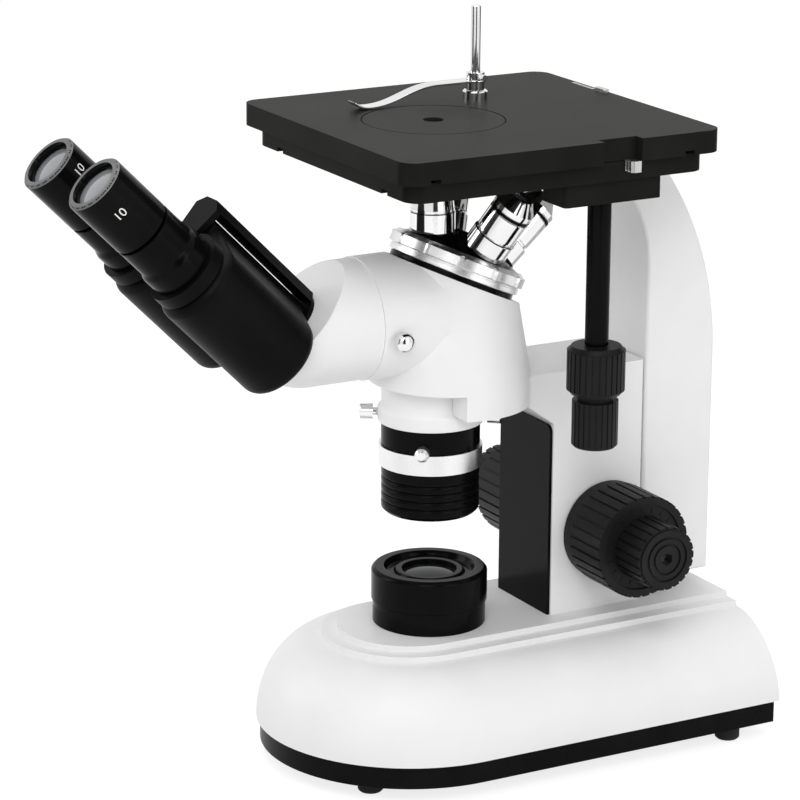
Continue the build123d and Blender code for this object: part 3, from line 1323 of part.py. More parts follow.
def eyepiece(side):
    """Eyepiece with its barrel in the neck and a recessed eye lens."""
    barrel_end = HOUSING_END + FLANGE_LENGTH / 2
    lens_z = EYEPIECE_END - EYE_CUP_DEPTH - EYE_LENS_THICKNESS
    body = lathe([
        (0, barrel_end),
        (EYE_BARREL_RADIUS, barrel_end),
        (EYE_BARREL_RADIUS, EYEPIECE_START),
        (EYEPIECE_RADIUS, EYEPIECE_START),
        (EYEPIECE_RADIUS, EYEPIECE_END - EYEPIECE_EDGE),
        (EYEPIECE_RADIUS - EYEPIECE_EDGE, EYEPIECE_END),
        (EYE_LENS_RADIUS + EYEPIECE_EDGE, EYEPIECE_END),
        (EYE_LENS_RADIUS, EYEPIECE_END - EYE_CUP_DEPTH),
        (EYE_LENS_RADIUS, lens_z),
        (0, lens_z),
    ])
    return on_eye(body, side)


def eye_lens(side):
    lens_z = EYEPIECE_END - EYE_CUP_DEPTH - EYE_LENS_THICKNESS
    return on_eye(dome_lens(EYE_LENS_RADIUS, EYE_LENS_THICKNESS, lens_z), side)


NODES = {
    "base_shell": base_shell,
    "base_plate": base_plate,
    "base_feet": base_feet,
    "power_inlet": power_inlet,
    "power_rocker": power_rocker,
    "dimmer_knob": dimmer_knob,
    "lamp_seat": lamp_seat,
    "lamp_ring": lamp_ring,
    "lamp_bulb": lamp_bulb,
    "illumination_lenses": illumination_lenses,
    "focus_block": focus_block,
    "front_panel": front_panel,
    "focus_arm": focus_arm,
    "arm_slide": arm_slide,
    "coarse_shaft": coarse_shaft,
    "coarse_knob_right": lambda: coarse_knob(1),
    "coarse_knob_left": lambda: coarse_knob(-1),
    "fine_shaft": fine_shaft,
    "fine_knob_right": lambda: fine_knob(1),
    "fine_knob_left": lambda: fine_knob(-1),
    "head_body": head_body,
    "head_lock_screw": head_lock_screw,
    "beam_splitter": beam_splitter,
    "viewing_elbow": viewing_elbow,
    "elbow_mirror": elbow_mirror,
    "illuminator_collar": illuminator_collar,
    "centring_screws": centring_screws,
    "illuminator_tube": illuminator_tube,
    "iris_ring": iris_ring,
    "nosepiece_seat": nosepiece_seat,
    "nosepiece_ring": nosepiece_ring,
    "turret": turret,
    "objective_1": lambda: objective(0),
    "objective_2": lambda: objective(1),
    "objective_3": lambda: objective(2),
    "objective_4": lambda: objective(3),
    "stage_bracket": stage_bracket,
    "y_rack": y_rack,
    "lower_plate": lower_plate,
    "drive_block": drive_block,
    "drive_sleeve": drive_sleeve,
    "top_plate": top_plate,
    "stage_insert": stage_insert,
    "x_rack": x_rack,
    "clip_post": clip_post,
    "clip_collar": clip_collar,
    "clip_arm": clip_arm,
    "y_shaft": y_shaft,
    "y_knob": y_knob,
    "x_shaft": x_shaft,
    "x_knob": x_knob,
    "binocular_hinge": binocular_hinge,
    "prism_housing_right": lambda: prism_housing(1),
    "prism_housing_left": lambda: prism_housing(-1),
    "eye_sleeve_right": lambda: eye_sleeve(1),
    "dioptre_ring": lambda: eye_sleeve(-1),
    "eyepiece_right": lambda: eyepiece(1),
    "eyepiece_left": lambda: eyepiece(-1),
    "eye_lens_right": lambda: eye_lens(1),
    "eye_lens_left": lambda: eye_lens(-1),
}

os.makedirs("parts", exist_ok=True)
for name, make in NODES.items():
    made = make()
    pieces = made if isinstance(made, list) else [made]
    solids = [solid for piece in pieces for solid in piece.solids()]
    placed = [Pos(0, AXIS_Y, 0) * solid for solid in solids]
    node = placed[0] if len(placed) == 1 else Compound(children=placed)
    export_step(node, f"parts/{name}.step")
print("optical axis at y =", round(AXIS_Y, 3), "stage top at z =", round(STAGE_TOP_Z, 3))
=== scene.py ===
import json
import math

import bmesh
import bpy
from mathutils import Matrix, Vector


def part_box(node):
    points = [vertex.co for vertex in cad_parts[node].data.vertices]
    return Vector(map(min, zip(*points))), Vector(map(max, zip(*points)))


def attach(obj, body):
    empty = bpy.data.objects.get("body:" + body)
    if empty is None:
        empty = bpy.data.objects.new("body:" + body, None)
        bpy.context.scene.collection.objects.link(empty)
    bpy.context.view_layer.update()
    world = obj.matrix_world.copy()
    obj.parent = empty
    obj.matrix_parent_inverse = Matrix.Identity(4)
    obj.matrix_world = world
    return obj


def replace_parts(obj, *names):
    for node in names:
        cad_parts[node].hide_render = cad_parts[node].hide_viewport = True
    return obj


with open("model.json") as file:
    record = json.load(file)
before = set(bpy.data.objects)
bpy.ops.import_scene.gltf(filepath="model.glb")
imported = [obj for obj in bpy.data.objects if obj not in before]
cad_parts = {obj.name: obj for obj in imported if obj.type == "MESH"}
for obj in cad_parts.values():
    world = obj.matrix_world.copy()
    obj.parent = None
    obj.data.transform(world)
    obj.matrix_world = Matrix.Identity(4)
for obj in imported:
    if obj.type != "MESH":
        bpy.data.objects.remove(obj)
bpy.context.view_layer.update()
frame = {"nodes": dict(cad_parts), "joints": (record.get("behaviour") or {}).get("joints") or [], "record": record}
nodes = frame["nodes"]
joints = {joint["name"]: joint for joint in frame["joints"]}
scene = bpy.context.scene
MM = 0.001


# Materials
def new_material(name):
    material = bpy.data.materials.new(name)
    material.use_nodes = True
    tree = material.node_tree
    return material, tree, tree.nodes["Principled BSDF"]


def noise(tree, scale, detail):
    """Noise in the object's own metres."""
    coords = tree.nodes.new("ShaderNodeTexCoord")
    texture = tree.nodes.new("ShaderNodeTexNoise")
    texture.inputs["Scale"].default_value = scale
    texture.inputs["Detail"].default_value = detail
    tree.links.new(coords.outputs["Object"], texture.inputs["Vector"])
    return texture.outputs["Fac"]


def ramp(tree, source, low, high):
    node = tree.nodes.new("ShaderNodeValToRGB")
    for element, position, colour in zip(node.color_ramp.elements, NOISE_SPAN, (low, high)):
        element.position = position
        element.color = (*colour, 1)
    tree.links.new(source, node.inputs["Fac"])
    return node.outputs["Color"]


def remap(tree, source, low, high):
    node = tree.nodes.new("ShaderNodeMapRange")
    node.inputs["From Min"].default_value, node.inputs["From Max"].default_value = NOISE_SPAN
    node.inputs["To Min"].default_value = low
    node.inputs["To Max"].default_value = high
    tree.links.new(source, node.inputs["Value"])
    return node.outputs["Result"]


def painted(name, dark, light, rough, grain, relief, metallic=0.0, specular=0.5):
    """Paint or plating with a soft mottle, a varying gloss and a fine skin."""
    material, tree, shader = new_material(name)
    mottle = noise(tree, MOTTLE_SCALE, MOTTLE_DETAIL)
    skin = noise(tree, grain, SKIN_DETAIL)
    tree.links.new(ramp(tree, mottle, dark, light), shader.inputs["Base Color"])
    tree.links.new(remap(tree, skin, *rough), shader.inputs["Roughness"])
    bump = tree.nodes.new("ShaderNodeBump")
    bump.inputs["Strength"].default_value = BUMP_STRENGTH
    bump.inputs["Distance"].default_value = relief
    tree.links.new(skin, bump.inputs["Height"])
    tree.links.new(bump.outputs["Normal"], shader.inputs["Normal"])
    shader.inputs["Metallic"].default_value = metallic
    shader.inputs["Specular IOR Level"].default_value = specular
    return material


def glass(name, tint, paler_tint, coat, specular):
    """Coated optical glass over a dark barrel; a pale tint in its base colour is a painted reflection."""
    material, tree, shader = new_material(name)
    tinge = noise(tree, TINGE_SCALE, TINGE_DETAIL)
    tree.links.new(ramp(tree, tinge, tint, paler_tint), shader.inputs["Base Color"])
    shader.inputs["Roughness"].default_value = GLASS_ROUGHNESS
    shader.inputs["IOR"].default_value = GLASS_IOR
    shader.inputs["Specular IOR Level"].default_value = specular
    shader.inputs["Coat Weight"].default_value = coat
    shader.inputs["Coat Roughness"].default_value = GLASS_COAT_ROUGHNESS
    return material


def grey(level):
    return (level, level, level)


NOISE_SPAN = (0.3, 0.7)
MOTTLE_SCALE = 35.0
MOTTLE_DETAIL = 3.0
SKIN_DETAIL = 2.0
BUMP_STRENGTH = 0.5
TINGE_SCALE = 60.0
TINGE_DETAIL = 1.0
GLASS_ROUGHNESS = 0.04
GLASS_IOR = 1.52
GLASS_COAT_ROUGHNESS = 0.03

# Each paint: darkest and lightest colour, span of roughness, grain per metre and relief in metres
WHITE = painted("white_enamel", grey(0.82), grey(0.845), (0.40, 0.52), 900.0, 0.00001, specular=0.4)
BLACK = painted("black_enamel", grey(0.002), grey(0.004), (0.14, 0.22), 700.0, 0.000003, specular=0.05)
HOUSING_BLACK = painted(
    "housing_black", grey(0.002), grey(0.004), (0.34, 0.44), 900.0, 0.000006, specular=0.05
)
STAGE_BLACK = painted(
    "stage_black", (0.009, 0.009, 0.008), (0.013, 0.013, 0.012), (0.36, 0.48), 2200.0, 0.00002, specular=0.03
)
BASE_BLACK = painted("base_black", grey(0.002), grey(0.005), (0.26, 0.38), 1500.0, 0.00002, specular=0.05)
PLASTIC = painted("black_plastic", grey(0.006), grey(0.011), (0.36, 0.52), 2600.0, 0.00003, specular=0.14)
RUBBER = painted("rubber", grey(0.008), grey(0.015), (0.70, 0.85), 1800.0, 0.00006, specular=0.25)
CHROME = painted("chrome", grey(0.72), grey(0.82), (0.05, 0.11), 1200.0, 0.000004, metallic=1.0)
SATIN = painted("satin_chrome", grey(0.74), grey(0.80), (0.26, 0.36), 1600.0, 0.00001, metallic=1.0)
STEEL = painted("steel", grey(0.45), grey(0.56), (0.22, 0.38), 1600.0, 0.00002, metallic=1.0)
MIRROR = painted("mirror", grey(0.80), grey(0.84), (0.02, 0.04), 300.0, 0.000001, metallic=1.0)
MARKING = painted("white_marking", (0.70, 0.70, 0.68), (0.80, 0.80, 0.78), (0.45, 0.60), 2000.0, 0.00001)
# Painted highlight: a lighter grey laid on the eyepieces' faces that turn to the eye end
EYE_END_HIGHLIGHT = painted("eye_end_painted_highlight", grey(0.10), grey(0.15), (0.35, 0.50), 1500.0, 0.00001, specular=0.3)

# Each glass: two tints, weight of the coating and level of its reflection; the clear glass's pale grey tints are a
# painted reflection
# Painted reflection: the pale grey base colour of the clear lenses
LENS_PAINTED_REFLECTION = glass("clear_glass", (0.20, 0.21, 0.22), (0.27, 0.28, 0.30), 0.6, 0.5)
LAMP_GLASS = glass("lamp_glass", (0.010, 0.011, 0.012), (0.018, 0.019, 0.020), 0.0, 0.12)

# Each slot's material and the width of its rounded edges, in millimetres
BY_SLOT = {
    "white_enamel": (WHITE, 0.8),
    "black_enamel": (BLACK, 0.45),
    "stage_black": (STAGE_BLACK, 0.6),
    "base_black": (BASE_BLACK, 0.8),
    "black_plastic": (PLASTIC, 0.3),
    "rubber": (RUBBER, 0.4),
    "chrome": (CHROME, 0.25),
    "steel": (STEEL, 0.1),
    "clear_glass": (LENS_PAINTED_REFLECTION, 0.1),
    "mirror": (MIRROR, 0.1),
}
OWN_MATERIAL = {
    "iris_ring": SATIN,
    "illumination_lenses": LAMP_GLASS,
    "binocular_hinge": HOUSING_BLACK,
    "prism_housing_right": HOUSING_BLACK,
    "prism_housing_left": HOUSING_BLACK,
}
GEARED = ("coarse_shaft", "arm_slide", "x_shaft", "y_shaft", "x_rack", "y_rack")
WELD_REACH = 0.002
BEVEL_SEGMENTS = 2
BEVEL_ANGLE = math.radians(38)


def soften(obj, width):
    """Round the hard edges of a piece by a little."""
    weld = obj.modifiers.new("weld", "WELD")
    weld.merge_threshold = WELD_REACH * MM
    bevel = obj.modifiers.new("bevel", "BEVEL")
    bevel.width = width * MM
    bevel.segments = BEVEL_SEGMENTS
    bevel.limit_method = "ANGLE"
    bevel.angle_limit = BEVEL_ANGLE
    bevel.use_clamp_overlap = True
    normals = obj.modifiers.new("normals", "WEIGHTED_NORMAL")
    normals.keep_sharp = True


slot_of = {part["node"]: part["material_slot"] for part in frame["record"]["subparts"]}
for name, obj in nodes.items():
    material, width = BY_SLOT[slot_of[name]]
    obj.data.materials.clear()
    obj.data.materials.append(OWN_MATERIAL.get(name, material))
    if name not in GEARED:
        soften(obj, width)


# Frames
def frame_on(origin, axis):
    """Frame with Z along an axis and X kept to the right."""
    z_axis = Vector(axis).normalized()
    x_axis = Vector((1, 0, 0))
    y_axis = z_axis.cross(x_axis).normalized()
    rotation = Matrix((x_axis, y_axis, z_axis)).transposed().to_4x4()
    return Matrix.Translation(origin) @ rotation


def frame_at(place, axis):
    """Frame at a place in metres with Z along an axis."""
    return Matrix.Translation(place) @ Vector(axis).to_track_quat("Z", "Y").to_matrix().to_4x4()


def points_in(node, matrix):
    """A node's points in another frame, in millimetres."""
    inverse = matrix.inverted()
    return [inverse @ vertex.co / MM for vertex in nodes[node].data.vertices]


def span_in(node, matrix):
    """A node's lowest and highest corners in another frame, in millimetres."""
    points = points_in(node, matrix)
    return [[pick(point[axis] for point in points) for axis in range(3)] for pick in (min, max)]


def middle(low, high):
    return [(a + b) / 2 for a, b in zip(low, high)]


nose_turn = joints["nosepiece_turn"]
eye_turn = joints["right_eye_spacing"]
nose_frame = frame_on(nose_turn["pos_m"], nose_turn["axis"])
view_frame = frame_on(eye_turn["pos_m"], eye_turn["axis"])
nose_tilt = math.atan2(nose_turn["axis"][1], nose_turn["axis"][2])
axis_y = middle(*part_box("illuminator_tube"))[1]


# Building pieces
SHARP_ANGLE = math.radians(35)


def add_piece(name, mesh, body, material, matrix, edge=0.0):
    obj = bpy.data.objects.new(name, mesh)
    scene.collection.objects.link(obj)
    mesh.transform(matrix)
    mesh.materials.append(material)
    for polygon in mesh.polygons:
        polygon.use_smooth = True
    mesh.set_sharp_from_angle(angle=SHARP_ANGLE)
    if edge:
        soften(obj, edge)
    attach(obj, body)
    return obj


def skinned(name, rows, closed):
    """Mesh over rows of points in millimetres that all have the same count."""
    mesh = bpy.data.meshes.new(name)
    builder = bmesh.new()
    rings = [[builder.verts.new(Vector(point) * MM) for point in row] for row in rows]
    pairs = list(zip(rings, rings[1:]))
    if closed:
        pairs.append((rings[-1], rings[0]))
    else:
        builder.faces.new(list(reversed(rings[0])))
        builder.faces.new(rings[-1])
    for lower, upper in pairs:
        for step in range(len(lower)):
            after = (step + 1) % len(lower)
            builder.faces.new((lower[step], lower[after], upper[after], upper[step]))
    bmesh.ops.recalc_face_normals(builder, faces=builder.faces)
    builder.to_mesh(mesh)
    builder.free()
    return mesh


def around(segments, height, reach):
    """Ring of points at one height; reach gives the radius at a step and its angle."""
    points = []
    for step in range(segments):
        angle = 2 * math.pi * step / segments
        radius = reach(step, angle)
        points.append((radius * math.cos(angle), radius * math.sin(angle), height))
    return points


def turned(name, outline, segments=96, closed=False):
    """Turned mesh from an outline of (radius, height); a closed outline is a tube."""
    rows = [around(segments, height, lambda step, angle, r=radius: r) for radius, height in outline]
    return skinned(name, rows, closed)


def box_mesh(name, boxes):
    """One mesh from boxes of (matrix, size in millimetres)."""
    mesh = bpy.data.meshes.new(name)
    builder = bmesh.new()
    for matrix, size in boxes:
        scale = Matrix.Diagonal((size[0] * MM, size[1] * MM, size[2] * MM, 1))
        bmesh.ops.create_cube(builder, size=1.0, matrix=matrix @ scale)
    builder.to_mesh(mesh)
    builder.free()
    return mesh


def shift(x, y, z):
    return Matrix.Translation((x * MM, y * MM, z * MM))


# Objectives: shoulder, thread groove, engraved ring, tapered nose and front lens
OBJECTIVES = 4
OBJECTIVE_EDGE = 0.5
GROOVE_DEPTH = 0.6
GROOVE_WIDTH = 1.5
RING_BELOW_TAPER = 4.0
RING_HALF_WIDTH = 1.4
BAND_HALF_WIDTH = 0.9
LENS_SHARE = 0.55
NEAR = 0.1
for index in range(OBJECTIVES):
    number = index + 1
    node = f"objective_{number}"
    spot = nose_frame @ Matrix.Rotation(index * math.pi / 2, 4, "Z") @ Matrix.Rotation(nose_tilt, 4, "X")
    points = points_in(node, spot)
    start = min(point.z for point in points)
    seat = spot @ shift(0, 0, start)
    length = max(point.z for point in points) - start
    reach = [(math.hypot(point.x, point.y), point.z - start) for point in points]
    shoulder = max(radius for radius, height in reach)
    shoulder_top = max(height for radius, height in reach if radius > shoulder - NEAR)
    barrel = max(radius for radius, height in reach if height > shoulder_top + 3 * NEAR)
    taper = max(height for radius, height in reach if radius > barrel - NEAR)
    tip = max(radius for radius, height in reach if height > length - NEAR)
    bore = min(radius for radius, height in reach)
    ring = taper - RING_BELOW_TAPER
    outline = [
        (bore, 0.0),
        (shoulder - OBJECTIVE_EDGE, 0.0),
        (shoulder, OBJECTIVE_EDGE),
        (shoulder, shoulder_top - OBJECTIVE_EDGE),
        (shoulder - OBJECTIVE_EDGE, shoulder_top),
        (barrel - GROOVE_DEPTH, shoulder_top + 0.2),
        (barrel - GROOVE_DEPTH, shoulder_top + GROOVE_WIDTH - 0.3),
        (barrel, shoulder_top + GROOVE_WIDTH),
        (barrel, ring - RING_HALF_WIDTH),
        (barrel - GROOVE_DEPTH / 2, ring - RING_HALF_WIDTH + 0.3),
        (barrel - GROOVE_DEPTH / 2, ring + RING_HALF_WIDTH - 0.3),
        (barrel, ring + RING_HALF_WIDTH),
        (barrel, taper),
        (tip + 1.0, length - 1.6),
        (tip + 0.4, length - 0.5),
        (tip, length),
        (tip * 0.62, length),
        (bore, length - 0.8),
    ]
    mesh = turned(f"objective_body_{number}", outline, 128, closed=True)
    piece = add_piece(f"objective_body_{number}", mesh, "nosepiece", CHROME, seat)
    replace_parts(piece, node)
    band = [(barrel - GROOVE_DEPTH, ring - BAND_HALF_WIDTH), (barrel - 0.15, ring - BAND_HALF_WIDTH)]
    band += [(radius, 2 * ring - height) for radius, height in reversed(band)]
    mesh = turned(f"objective_band_{number}", band, closed=True)
    add_piece(f"objective_band_{number}", mesh, "nosepiece", BLACK, seat)
    glass_radius = tip * LENS_SHARE
    lens = [(glass_radius, length - 2.5), (glass_radius, length - 0.9), (tip * 0.3, length - 0.6)]
    mesh = turned(f"front_lens_{number}", lens, 48)
    add_piece(f"front_lens_{number}", mesh, "nosepiece", LENS_PAINTED_REFLECTION, seat)


# Nosepiece ring: bevelled grip with thumb notches between finely knurled fields
FIELDS = 12
FIELD_STEPS = 24
NOTCH_STEPS = 3
NOTCH_DEPTH = 0.9
KNURL_DEPTH = 0.12
ring_points = points_in("nosepiece_ring", nose_frame)
ring_low = min(point.z for point in ring_points)
ring_high = max(point.z for point in ring_points)
ring_radius = max(math.hypot(point.x, point.y) for point in ring_points)
ring_bore = min(math.hypot(point.x, point.y) for point in ring_points) + 0.1


def grip_reach(radius, shaped):
    """Radius of the grip at each step: notched and knurled where it is shaped."""
    def reach(step, angle):
        inside = step % FIELD_STEPS
        notch = NOTCH_DEPTH if inside < NOTCH_STEPS else 0.0
        knurled = NOTCH_STEPS + 2 <= inside < FIELD_STEPS - 2 and inside % 2
        return radius - (notch + (KNURL_DEPTH if knurled else 0.0) if shaped else 0.0)
    return reach


# Each row gives how far the skin lies inside the rim, its height, and whether the grip is cut there
GRIP_ROWS = [
    (ring_radius - ring_bore, ring_low, False),
    (1.8, ring_low, False),
    (1.4, ring_low + 0.4, False),
    (1.4, ring_low + 2.6, False),
    (1.8, ring_low + 2.9, False),
    (1.8, ring_low + 3.4, False),
    (0.4, ring_low + 3.8, True),
    (0.0, ring_low + 4.2, True),
    (0.0, ring_high - 2.2, True),
    (0.4, ring_high - 1.8, True),
    (1.2, ring_high - 1.5, False),
    (2.6, ring_high, False),
    (ring_radius - ring_bore, ring_high, False),
]
rows = [
    around(FIELDS * FIELD_STEPS, height, grip_reach(ring_radius - inset, shaped))
    for inset, height, shaped in GRIP_ROWS
]
mesh = skinned("nosepiece_grip", rows, closed=True)
grip = add_piece("nosepiece_grip", mesh, "nosepiece", SATIN, nose_frame)
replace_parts(grip, "nosepiece_ring")


# Coarse dial marks
DIAL_MARKS = 20
MARK_SIZE = (2.4, 1.5, 0.5)
MARK_RADIUS_SHARE = 0.73
MARK_SINK = 1.1
for side, label in ((1, "right"), (-1, "left")):
    low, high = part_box(f"coarse_knob_{label}")
    hub = middle(low, high)
    face = max(abs(low[0]), abs(high[0])) / MM - MARK_SINK
    radius = MARK_RADIUS_SHARE * (high[2] - low[2]) / 2 / MM
    turn = Matrix.Translation((0, hub[1], hub[2])) @ Matrix.Rotation(side * math.pi / 2, 4, "Y")
    marks = [
        (Matrix.Rotation(2 * math.pi * step / DIAL_MARKS, 4, "Z") @ shift(radius, 0, face), MARK_SIZE)
        for step in range(DIAL_MARKS)
    ]
    mesh = box_mesh(f"dial_marks_{label}", marks)
    add_piece(f"dial_marks_{label}", mesh, "coarse_drive", PLASTIC, turn, 0.15)


# Eyepieces: a painted highlight in lighter grey on the faces of the eye end round the eye lens, and a plain number
# wrapped round each barrel
NUMBER_SIZE = 6.4
NUMBER_RELIEF = 0.04
FACING = 0.7


def wrapped_number(name, text, radius, axis_frame, angle, along, body):
    curve = bpy.data.curves.new(name, "FONT")
    curve.body = text
    curve.size = NUMBER_SIZE * MM
    curve.align_x = "CENTER"
    curve.align_y = "CENTER"
    curve.extrude = NUMBER_RELIEF * MM
    flat = bpy.data.objects.new(name + "_flat", curve)
    scene.collection.objects.link(flat)
    bpy.context.view_layer.update()
    mesh = bpy.data.meshes.new_from_object(flat.evaluated_get(bpy.context.evaluated_depsgraph_get()))
    bpy.data.objects.remove(flat)
    for vertex in mesh.vertices:
        turn = angle + vertex.co.x / (radius * MM)
        reach = radius * MM + vertex.co.z
        vertex.co = (reach * math.cos(turn), reach * math.sin(turn), along * MM + vertex.co.y)
    mesh.materials.clear()
    add_piece(name, mesh, body, MARKING, axis_frame)


# Each number: its body, its turn round the barrel and how far it sits below the eye end
NUMBERS = {
    "right": ("right_tube", math.radians(-15), 14.2),
    "left": ("left_eyepiece", math.radians(22), 9.0),
}
for label, (body, angle, below) in NUMBERS.items():
    eyepiece = nodes[f"eyepiece_{label}"]
    eyepiece.data.materials.append(EYE_END_HIGHLIGHT)
    eyepiece.modifiers["bevel"].material = 0
    # Faces turned to the eye end get the painted highlight grey
    for polygon in eyepiece.data.polygons:
        if polygon.normal.dot(view_frame.col[2].to_3d()) > FACING:
            polygon.material_index = 1
    low, high = span_in(f"eyepiece_{label}", view_frame)
    centre = middle(low, high)
    barrel_frame = view_frame @ shift(centre[0], centre[1], 0)
    barrel = (high[0] - low[0]) / 2
    wrapped_number(f"eyepiece_number_{label}", "10", barrel, barrel_frame, angle, high[2] - below, body)


# Lock screw of the viewing tube: a bright domed head
LOCK_DOME = 3.2
LOCK_NECK_SHARE = 0.56
DOME_ANGLES = (0.35, 0.7, 1.0, 1.3, 1.5)
lock_low, lock_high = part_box("head_lock_screw")
lock = middle(lock_low, lock_high)
lock_start = lock_low[0] / MM
lock_radius = (lock_high[2] - lock_low[2]) / 2 / MM
neck = lock_radius * LOCK_NECK_SHARE
rim = lock_high[0] / MM - LOCK_DOME
outline = [
    (neck, lock_start),
    (neck, rim - 3.2),
    (lock_radius - 0.8, rim - 3.0),
    (lock_radius - 0.1, rim - 2.4),
    (lock_radius, rim),
]
outline += [(lock_radius * math.cos(a), rim + LOCK_DOME * math.sin(a)) for a in DOME_ANGLES]
mesh = turned("lock_knob", outline, 64)
lock_frame = Matrix.Translation((0, lock[1], lock[2])) @ Matrix.Rotation(math.pi / 2, 4, "Y")
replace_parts(add_piece("lock_knob", mesh, "stand", CHROME, lock_frame), "head_lock_screw")


# Fasteners
SCREW_SEGMENTS = 36
SOCKET_SHARE = 0.55
SOCKET_FLOOR_SHARE = 0.35
SCREW_EDGE_SHARE = 0.14


def socket_screw(name, body, slot, matrix, radius, height):
    """Socket head screw with a hexagon recess, standing on its seat."""
    hexagon = radius * SOCKET_SHARE
    edge = radius * SCREW_EDGE_SHARE

    def six_sided(step, angle):
        side = angle % (math.pi / 3) - math.pi / 6
        return hexagon * math.cos(math.pi / 6) / math.cos(side)

    rows = [
        around(SCREW_SEGMENTS, level, lambda step, angle, r=reach: r)
        for reach, level in ((radius, 0.0), (radius, height - edge), (radius - edge, height))
    ]
    floor_level = height * SOCKET_FLOOR_SHARE
    rows += [around(SCREW_SEGMENTS, level, six_sided) for level in (height, floor_level)]
    add_piece(name, skinned(name, rows, closed=False), body, STEEL, matrix)


DOWN = (0, 0, -1)
BRACKET_SCREW_X = 41.4
BRACKET_SCREW_INSETS = (9.0, 33.0)
BRACKET_SCREW = (3.2, 2.6)
BASE_SCREW = (3.4, 1.8)
BASE_SCREWS = ((-52, -20), (52, -20), (-60, 110), (60, 110))
bracket_low, bracket_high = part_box("stage_bracket")
for row, inset in enumerate(BRACKET_SCREW_INSETS):
    for side, label in ((1, "right"), (-1, "left")):
        place = (side * BRACKET_SCREW_X * MM, bracket_high[1] - inset * MM, bracket_low[2])
        name = f"bracket_screw_{label}_{row}"
        socket_screw(name, "arm", "stage_black", frame_at(place, DOWN), *BRACKET_SCREW)
plate_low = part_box("base_plate")[0]
for count, (x, y) in enumerate(BASE_SCREWS):
    place = (x * MM, axis_y + y * MM, plate_low[2])
    socket_screw(f"base_screw_{count}", "stand", "base_black", frame_at(place, DOWN), *BASE_SCREW)


# Scale at the stage's back edge: a small index block and its ticks
INDEX_SIZE = (9.0, 3.0, 2.4)
INDEX_X = -22.0
INDEX_SINK = 0.4
SCALE_INSET = 1.2
TICK_SIZE = (0.35, 2.2, 0.12)
TICK_START_X = -50.0
TICK_RISE = 0.03
TICKS = 21
plate_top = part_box("top_plate")[1]
back = plate_top[1] / MM - INDEX_SIZE[1] / 2 - SCALE_INSET
top = plate_top[2] / MM
index_z = top + INDEX_SIZE[2] / 2 - INDEX_SINK
mesh = box_mesh("stage_index", [(shift(INDEX_X, back, index_z), INDEX_SIZE)])
add_piece("stage_index", mesh, "stage_x", STEEL, Matrix.Identity(4), 0.3)
ticks = [(shift(TICK_START_X + step, back, top + TICK_RISE), TICK_SIZE) for step in range(TICKS)]
mesh = box_mesh("stage_ticks", ticks)
add_piece("stage_ticks", mesh, "stage_x", MARKING, Matrix.Identity(4))


# Studio: a white floor, clear from below, a white world, four soft lamps, dark cards for the chrome
def seen_directly(tree):
    """One where the camera, a mirror or a lens looks, zero for the light that falls on the object."""
    path = tree.nodes.new("ShaderNodeLightPath")
    result = path.outputs["Is Camera Ray"]
    for ray in ("Is Glossy Ray", "Is Transmission Ray"):
        either = tree.nodes.new("ShaderNodeMath")
        either.operation = "MAXIMUM"
        tree.links.new(result, either.inputs[0])
        tree.links.new(path.outputs[ray], either.inputs[1])
        result = either.outputs["Value"]
    return result


def diffuse(tree, level):
    node = tree.nodes.new("ShaderNodeBsdfDiffuse")
    node.inputs["Color"].default_value = (*grey(level), 1)
    return node.outputs["BSDF"]


def mixed(tree, factor, first, second):
    node = tree.nodes.new("ShaderNodeMixShader")
    tree.links.new(factor, node.inputs["Fac"])
    tree.links.new(first, node.inputs[1])
    tree.links.new(second, node.inputs[2])
    return node.outputs["Shader"]


FLOOR_GLOW = 0.80
FLOOR_SHADE = 0.36
FLOOR_PAPER = 0.8
AMBIENT = 0.52
FLOOR_REACH = 6.0
FLOOR_Z = -0.0005
CORNERS = ((-1, -1), (1, -1), (1, 1), (-1, 1))
corners = [(x * FLOOR_REACH, y * FLOOR_REACH, FLOOR_Z) for x, y in CORNERS]
floor_mesh = bpy.data.meshes.new("floor")
floor_mesh.from_pydata(corners, [], [(0, 1, 2, 3)])
floor = bpy.data.objects.new("floor", floor_mesh)
scene.collection.objects.link(floor)
floor_material, tree, shader = new_material("floor")
tree.nodes.remove(shader)
glow = tree.nodes.new("ShaderNodeEmission")
glow.inputs["Strength"].default_value = FLOOR_GLOW
both = tree.nodes.new("ShaderNodeAddShader")
tree.links.new(glow.outputs["Emission"], both.inputs[0])
tree.links.new(diffuse(tree, FLOOR_SHADE), both.inputs[1])
surface = mixed(tree, seen_directly(tree), diffuse(tree, FLOOR_PAPER), both.outputs["Shader"])
facing = tree.nodes.new("ShaderNodeNewGeometry")
clear = tree.nodes.new("ShaderNodeBsdfTransparent")
surface = mixed(tree, facing.outputs["Backfacing"], surface, clear.outputs["BSDF"])
tree.links.new(surface, tree.nodes["Material Output"].inputs["Surface"])
floor.data.materials.append(floor_material)

world = bpy.data.worlds.new("studio")
scene.world = world
world.use_nodes = True
tree = world.node_tree
tree.nodes.clear()
skies = []
for strength in (AMBIENT, 1.0):
    sky = tree.nodes.new("ShaderNodeBackground")
    sky.inputs["Color"].default_value = (1, 1, 1, 1)
    sky.inputs["Strength"].default_value = strength
    skies.append(sky.outputs["Background"])
output = tree.nodes.new("ShaderNodeOutputWorld")
tree.links.new(mixed(tree, seen_directly(tree), *skies), output.inputs["Surface"])

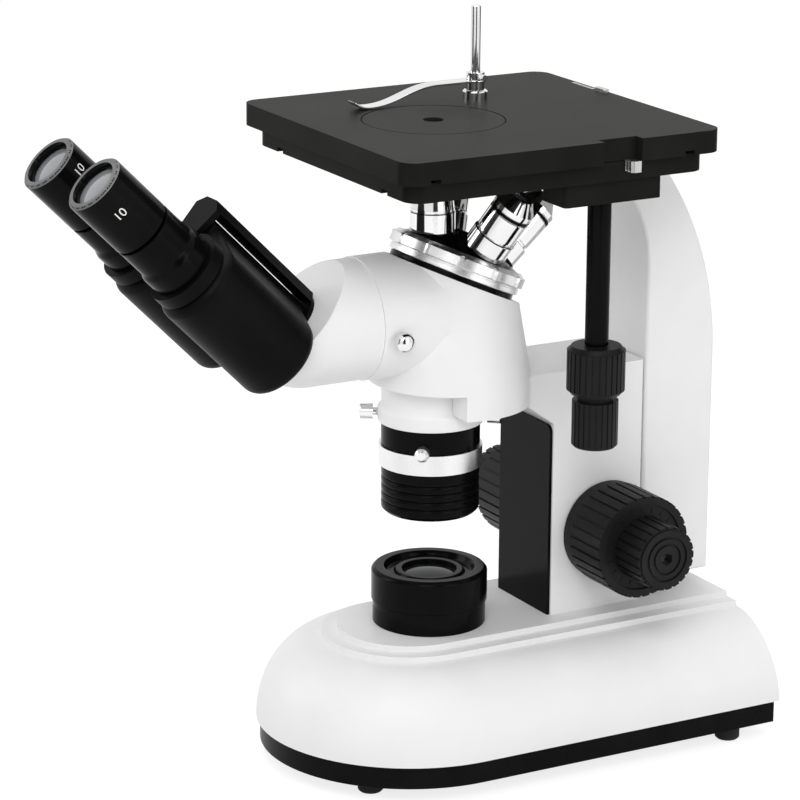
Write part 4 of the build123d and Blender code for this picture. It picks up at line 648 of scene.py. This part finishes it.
# Each lamp: place and size in metres, power in watts
LAMP_TARGET = Vector((0, 0, 0.2))
LAMPS = {
    "key": ((1.2, -0.7, 1.3), (0.9, 0.9), 12.0),
    "top": ((-0.2, 0.1, 1.6), (1.0, 1.0), 7.0),
    "left": ((-0.9, -1.2, 0.8), (0.6, 1.0), 6.0),
    "right": ((1.5, 0.4, 0.6), (0.6, 1.0), 4.0),
}
for name, (location, size, energy) in LAMPS.items():
    data = bpy.data.lights.new(name, "AREA")
    data.shape = "RECTANGLE"
    data.size, data.size_y = size
    data.energy = energy
    lamp = bpy.data.objects.new(name, data)
    lamp.location = location
    lamp.rotation_euler = (LAMP_TARGET - lamp.location).to_track_quat("-Z", "Y").to_euler()
    scene.collection.objects.link(lamp)

# Each card: bearing round the object in degrees from +X, width in metres
CARD_DISTANCE = 1.3
CARD_HEIGHT = 1.3
CARD_THICKNESS = 10
CARD_GREY = 0.02
CARD_ROUGHNESS = 0.9
CARDS = ((-100, 0.70), (-14, 0.55), (88, 0.90))
card_material, tree, shader = new_material("card")
shader.inputs["Base Color"].default_value = (*grey(CARD_GREY), 1)
shader.inputs["Roughness"].default_value = CARD_ROUGHNESS
for count, (bearing, width) in enumerate(CARDS):
    angle = math.radians(bearing)
    size = (CARD_THICKNESS, width / MM, CARD_HEIGHT / MM)
    mesh = box_mesh(f"card_{count}", [(Matrix.Identity(4), size)])
    card = bpy.data.objects.new(f"card_{count}", mesh)
    card.location = (CARD_DISTANCE * math.cos(angle), CARD_DISTANCE * math.sin(angle), CARD_HEIGHT / 2)
    card.rotation_euler = (0, 0, angle)
    mesh.materials.append(card_material)
    scene.collection.objects.link(card)
    card.visible_camera = False
    card.visible_diffuse = False
    card.visible_shadow = False

# Camera, in millimetres from the foot of the optical axis
CAMERA_PLACE = (1507.7, -869.4, 689.0)
CAMERA_TARGET = (0.0, -18.0, 189.7)
CAMERA_ROLL = 0.40
CAMERA_LENS = 160.0
SENSOR_WIDTH = 36.0
CAMERA_REACH = 20.0
from_axis = Matrix.Translation((0, axis_y, 0)) @ Matrix.Scale(MM, 4)
camera_data = bpy.data.cameras.new("camera")
camera_data.sensor_width = SENSOR_WIDTH
camera_data.lens = CAMERA_LENS
camera_data.clip_end = CAMERA_REACH
camera = bpy.data.objects.new("camera", camera_data)
camera.location = from_axis @ Vector(CAMERA_PLACE)
look = from_axis @ Vector(CAMERA_TARGET) - camera.location
roll = Matrix.Rotation(math.radians(CAMERA_ROLL), 3, "Z").to_quaternion()
camera.rotation_euler = (look.to_track_quat("-Z", "Y") @ roll).to_euler()
scene.collection.objects.link(camera)
scene.camera = camera

scene.view_settings.view_transform = "Standard"
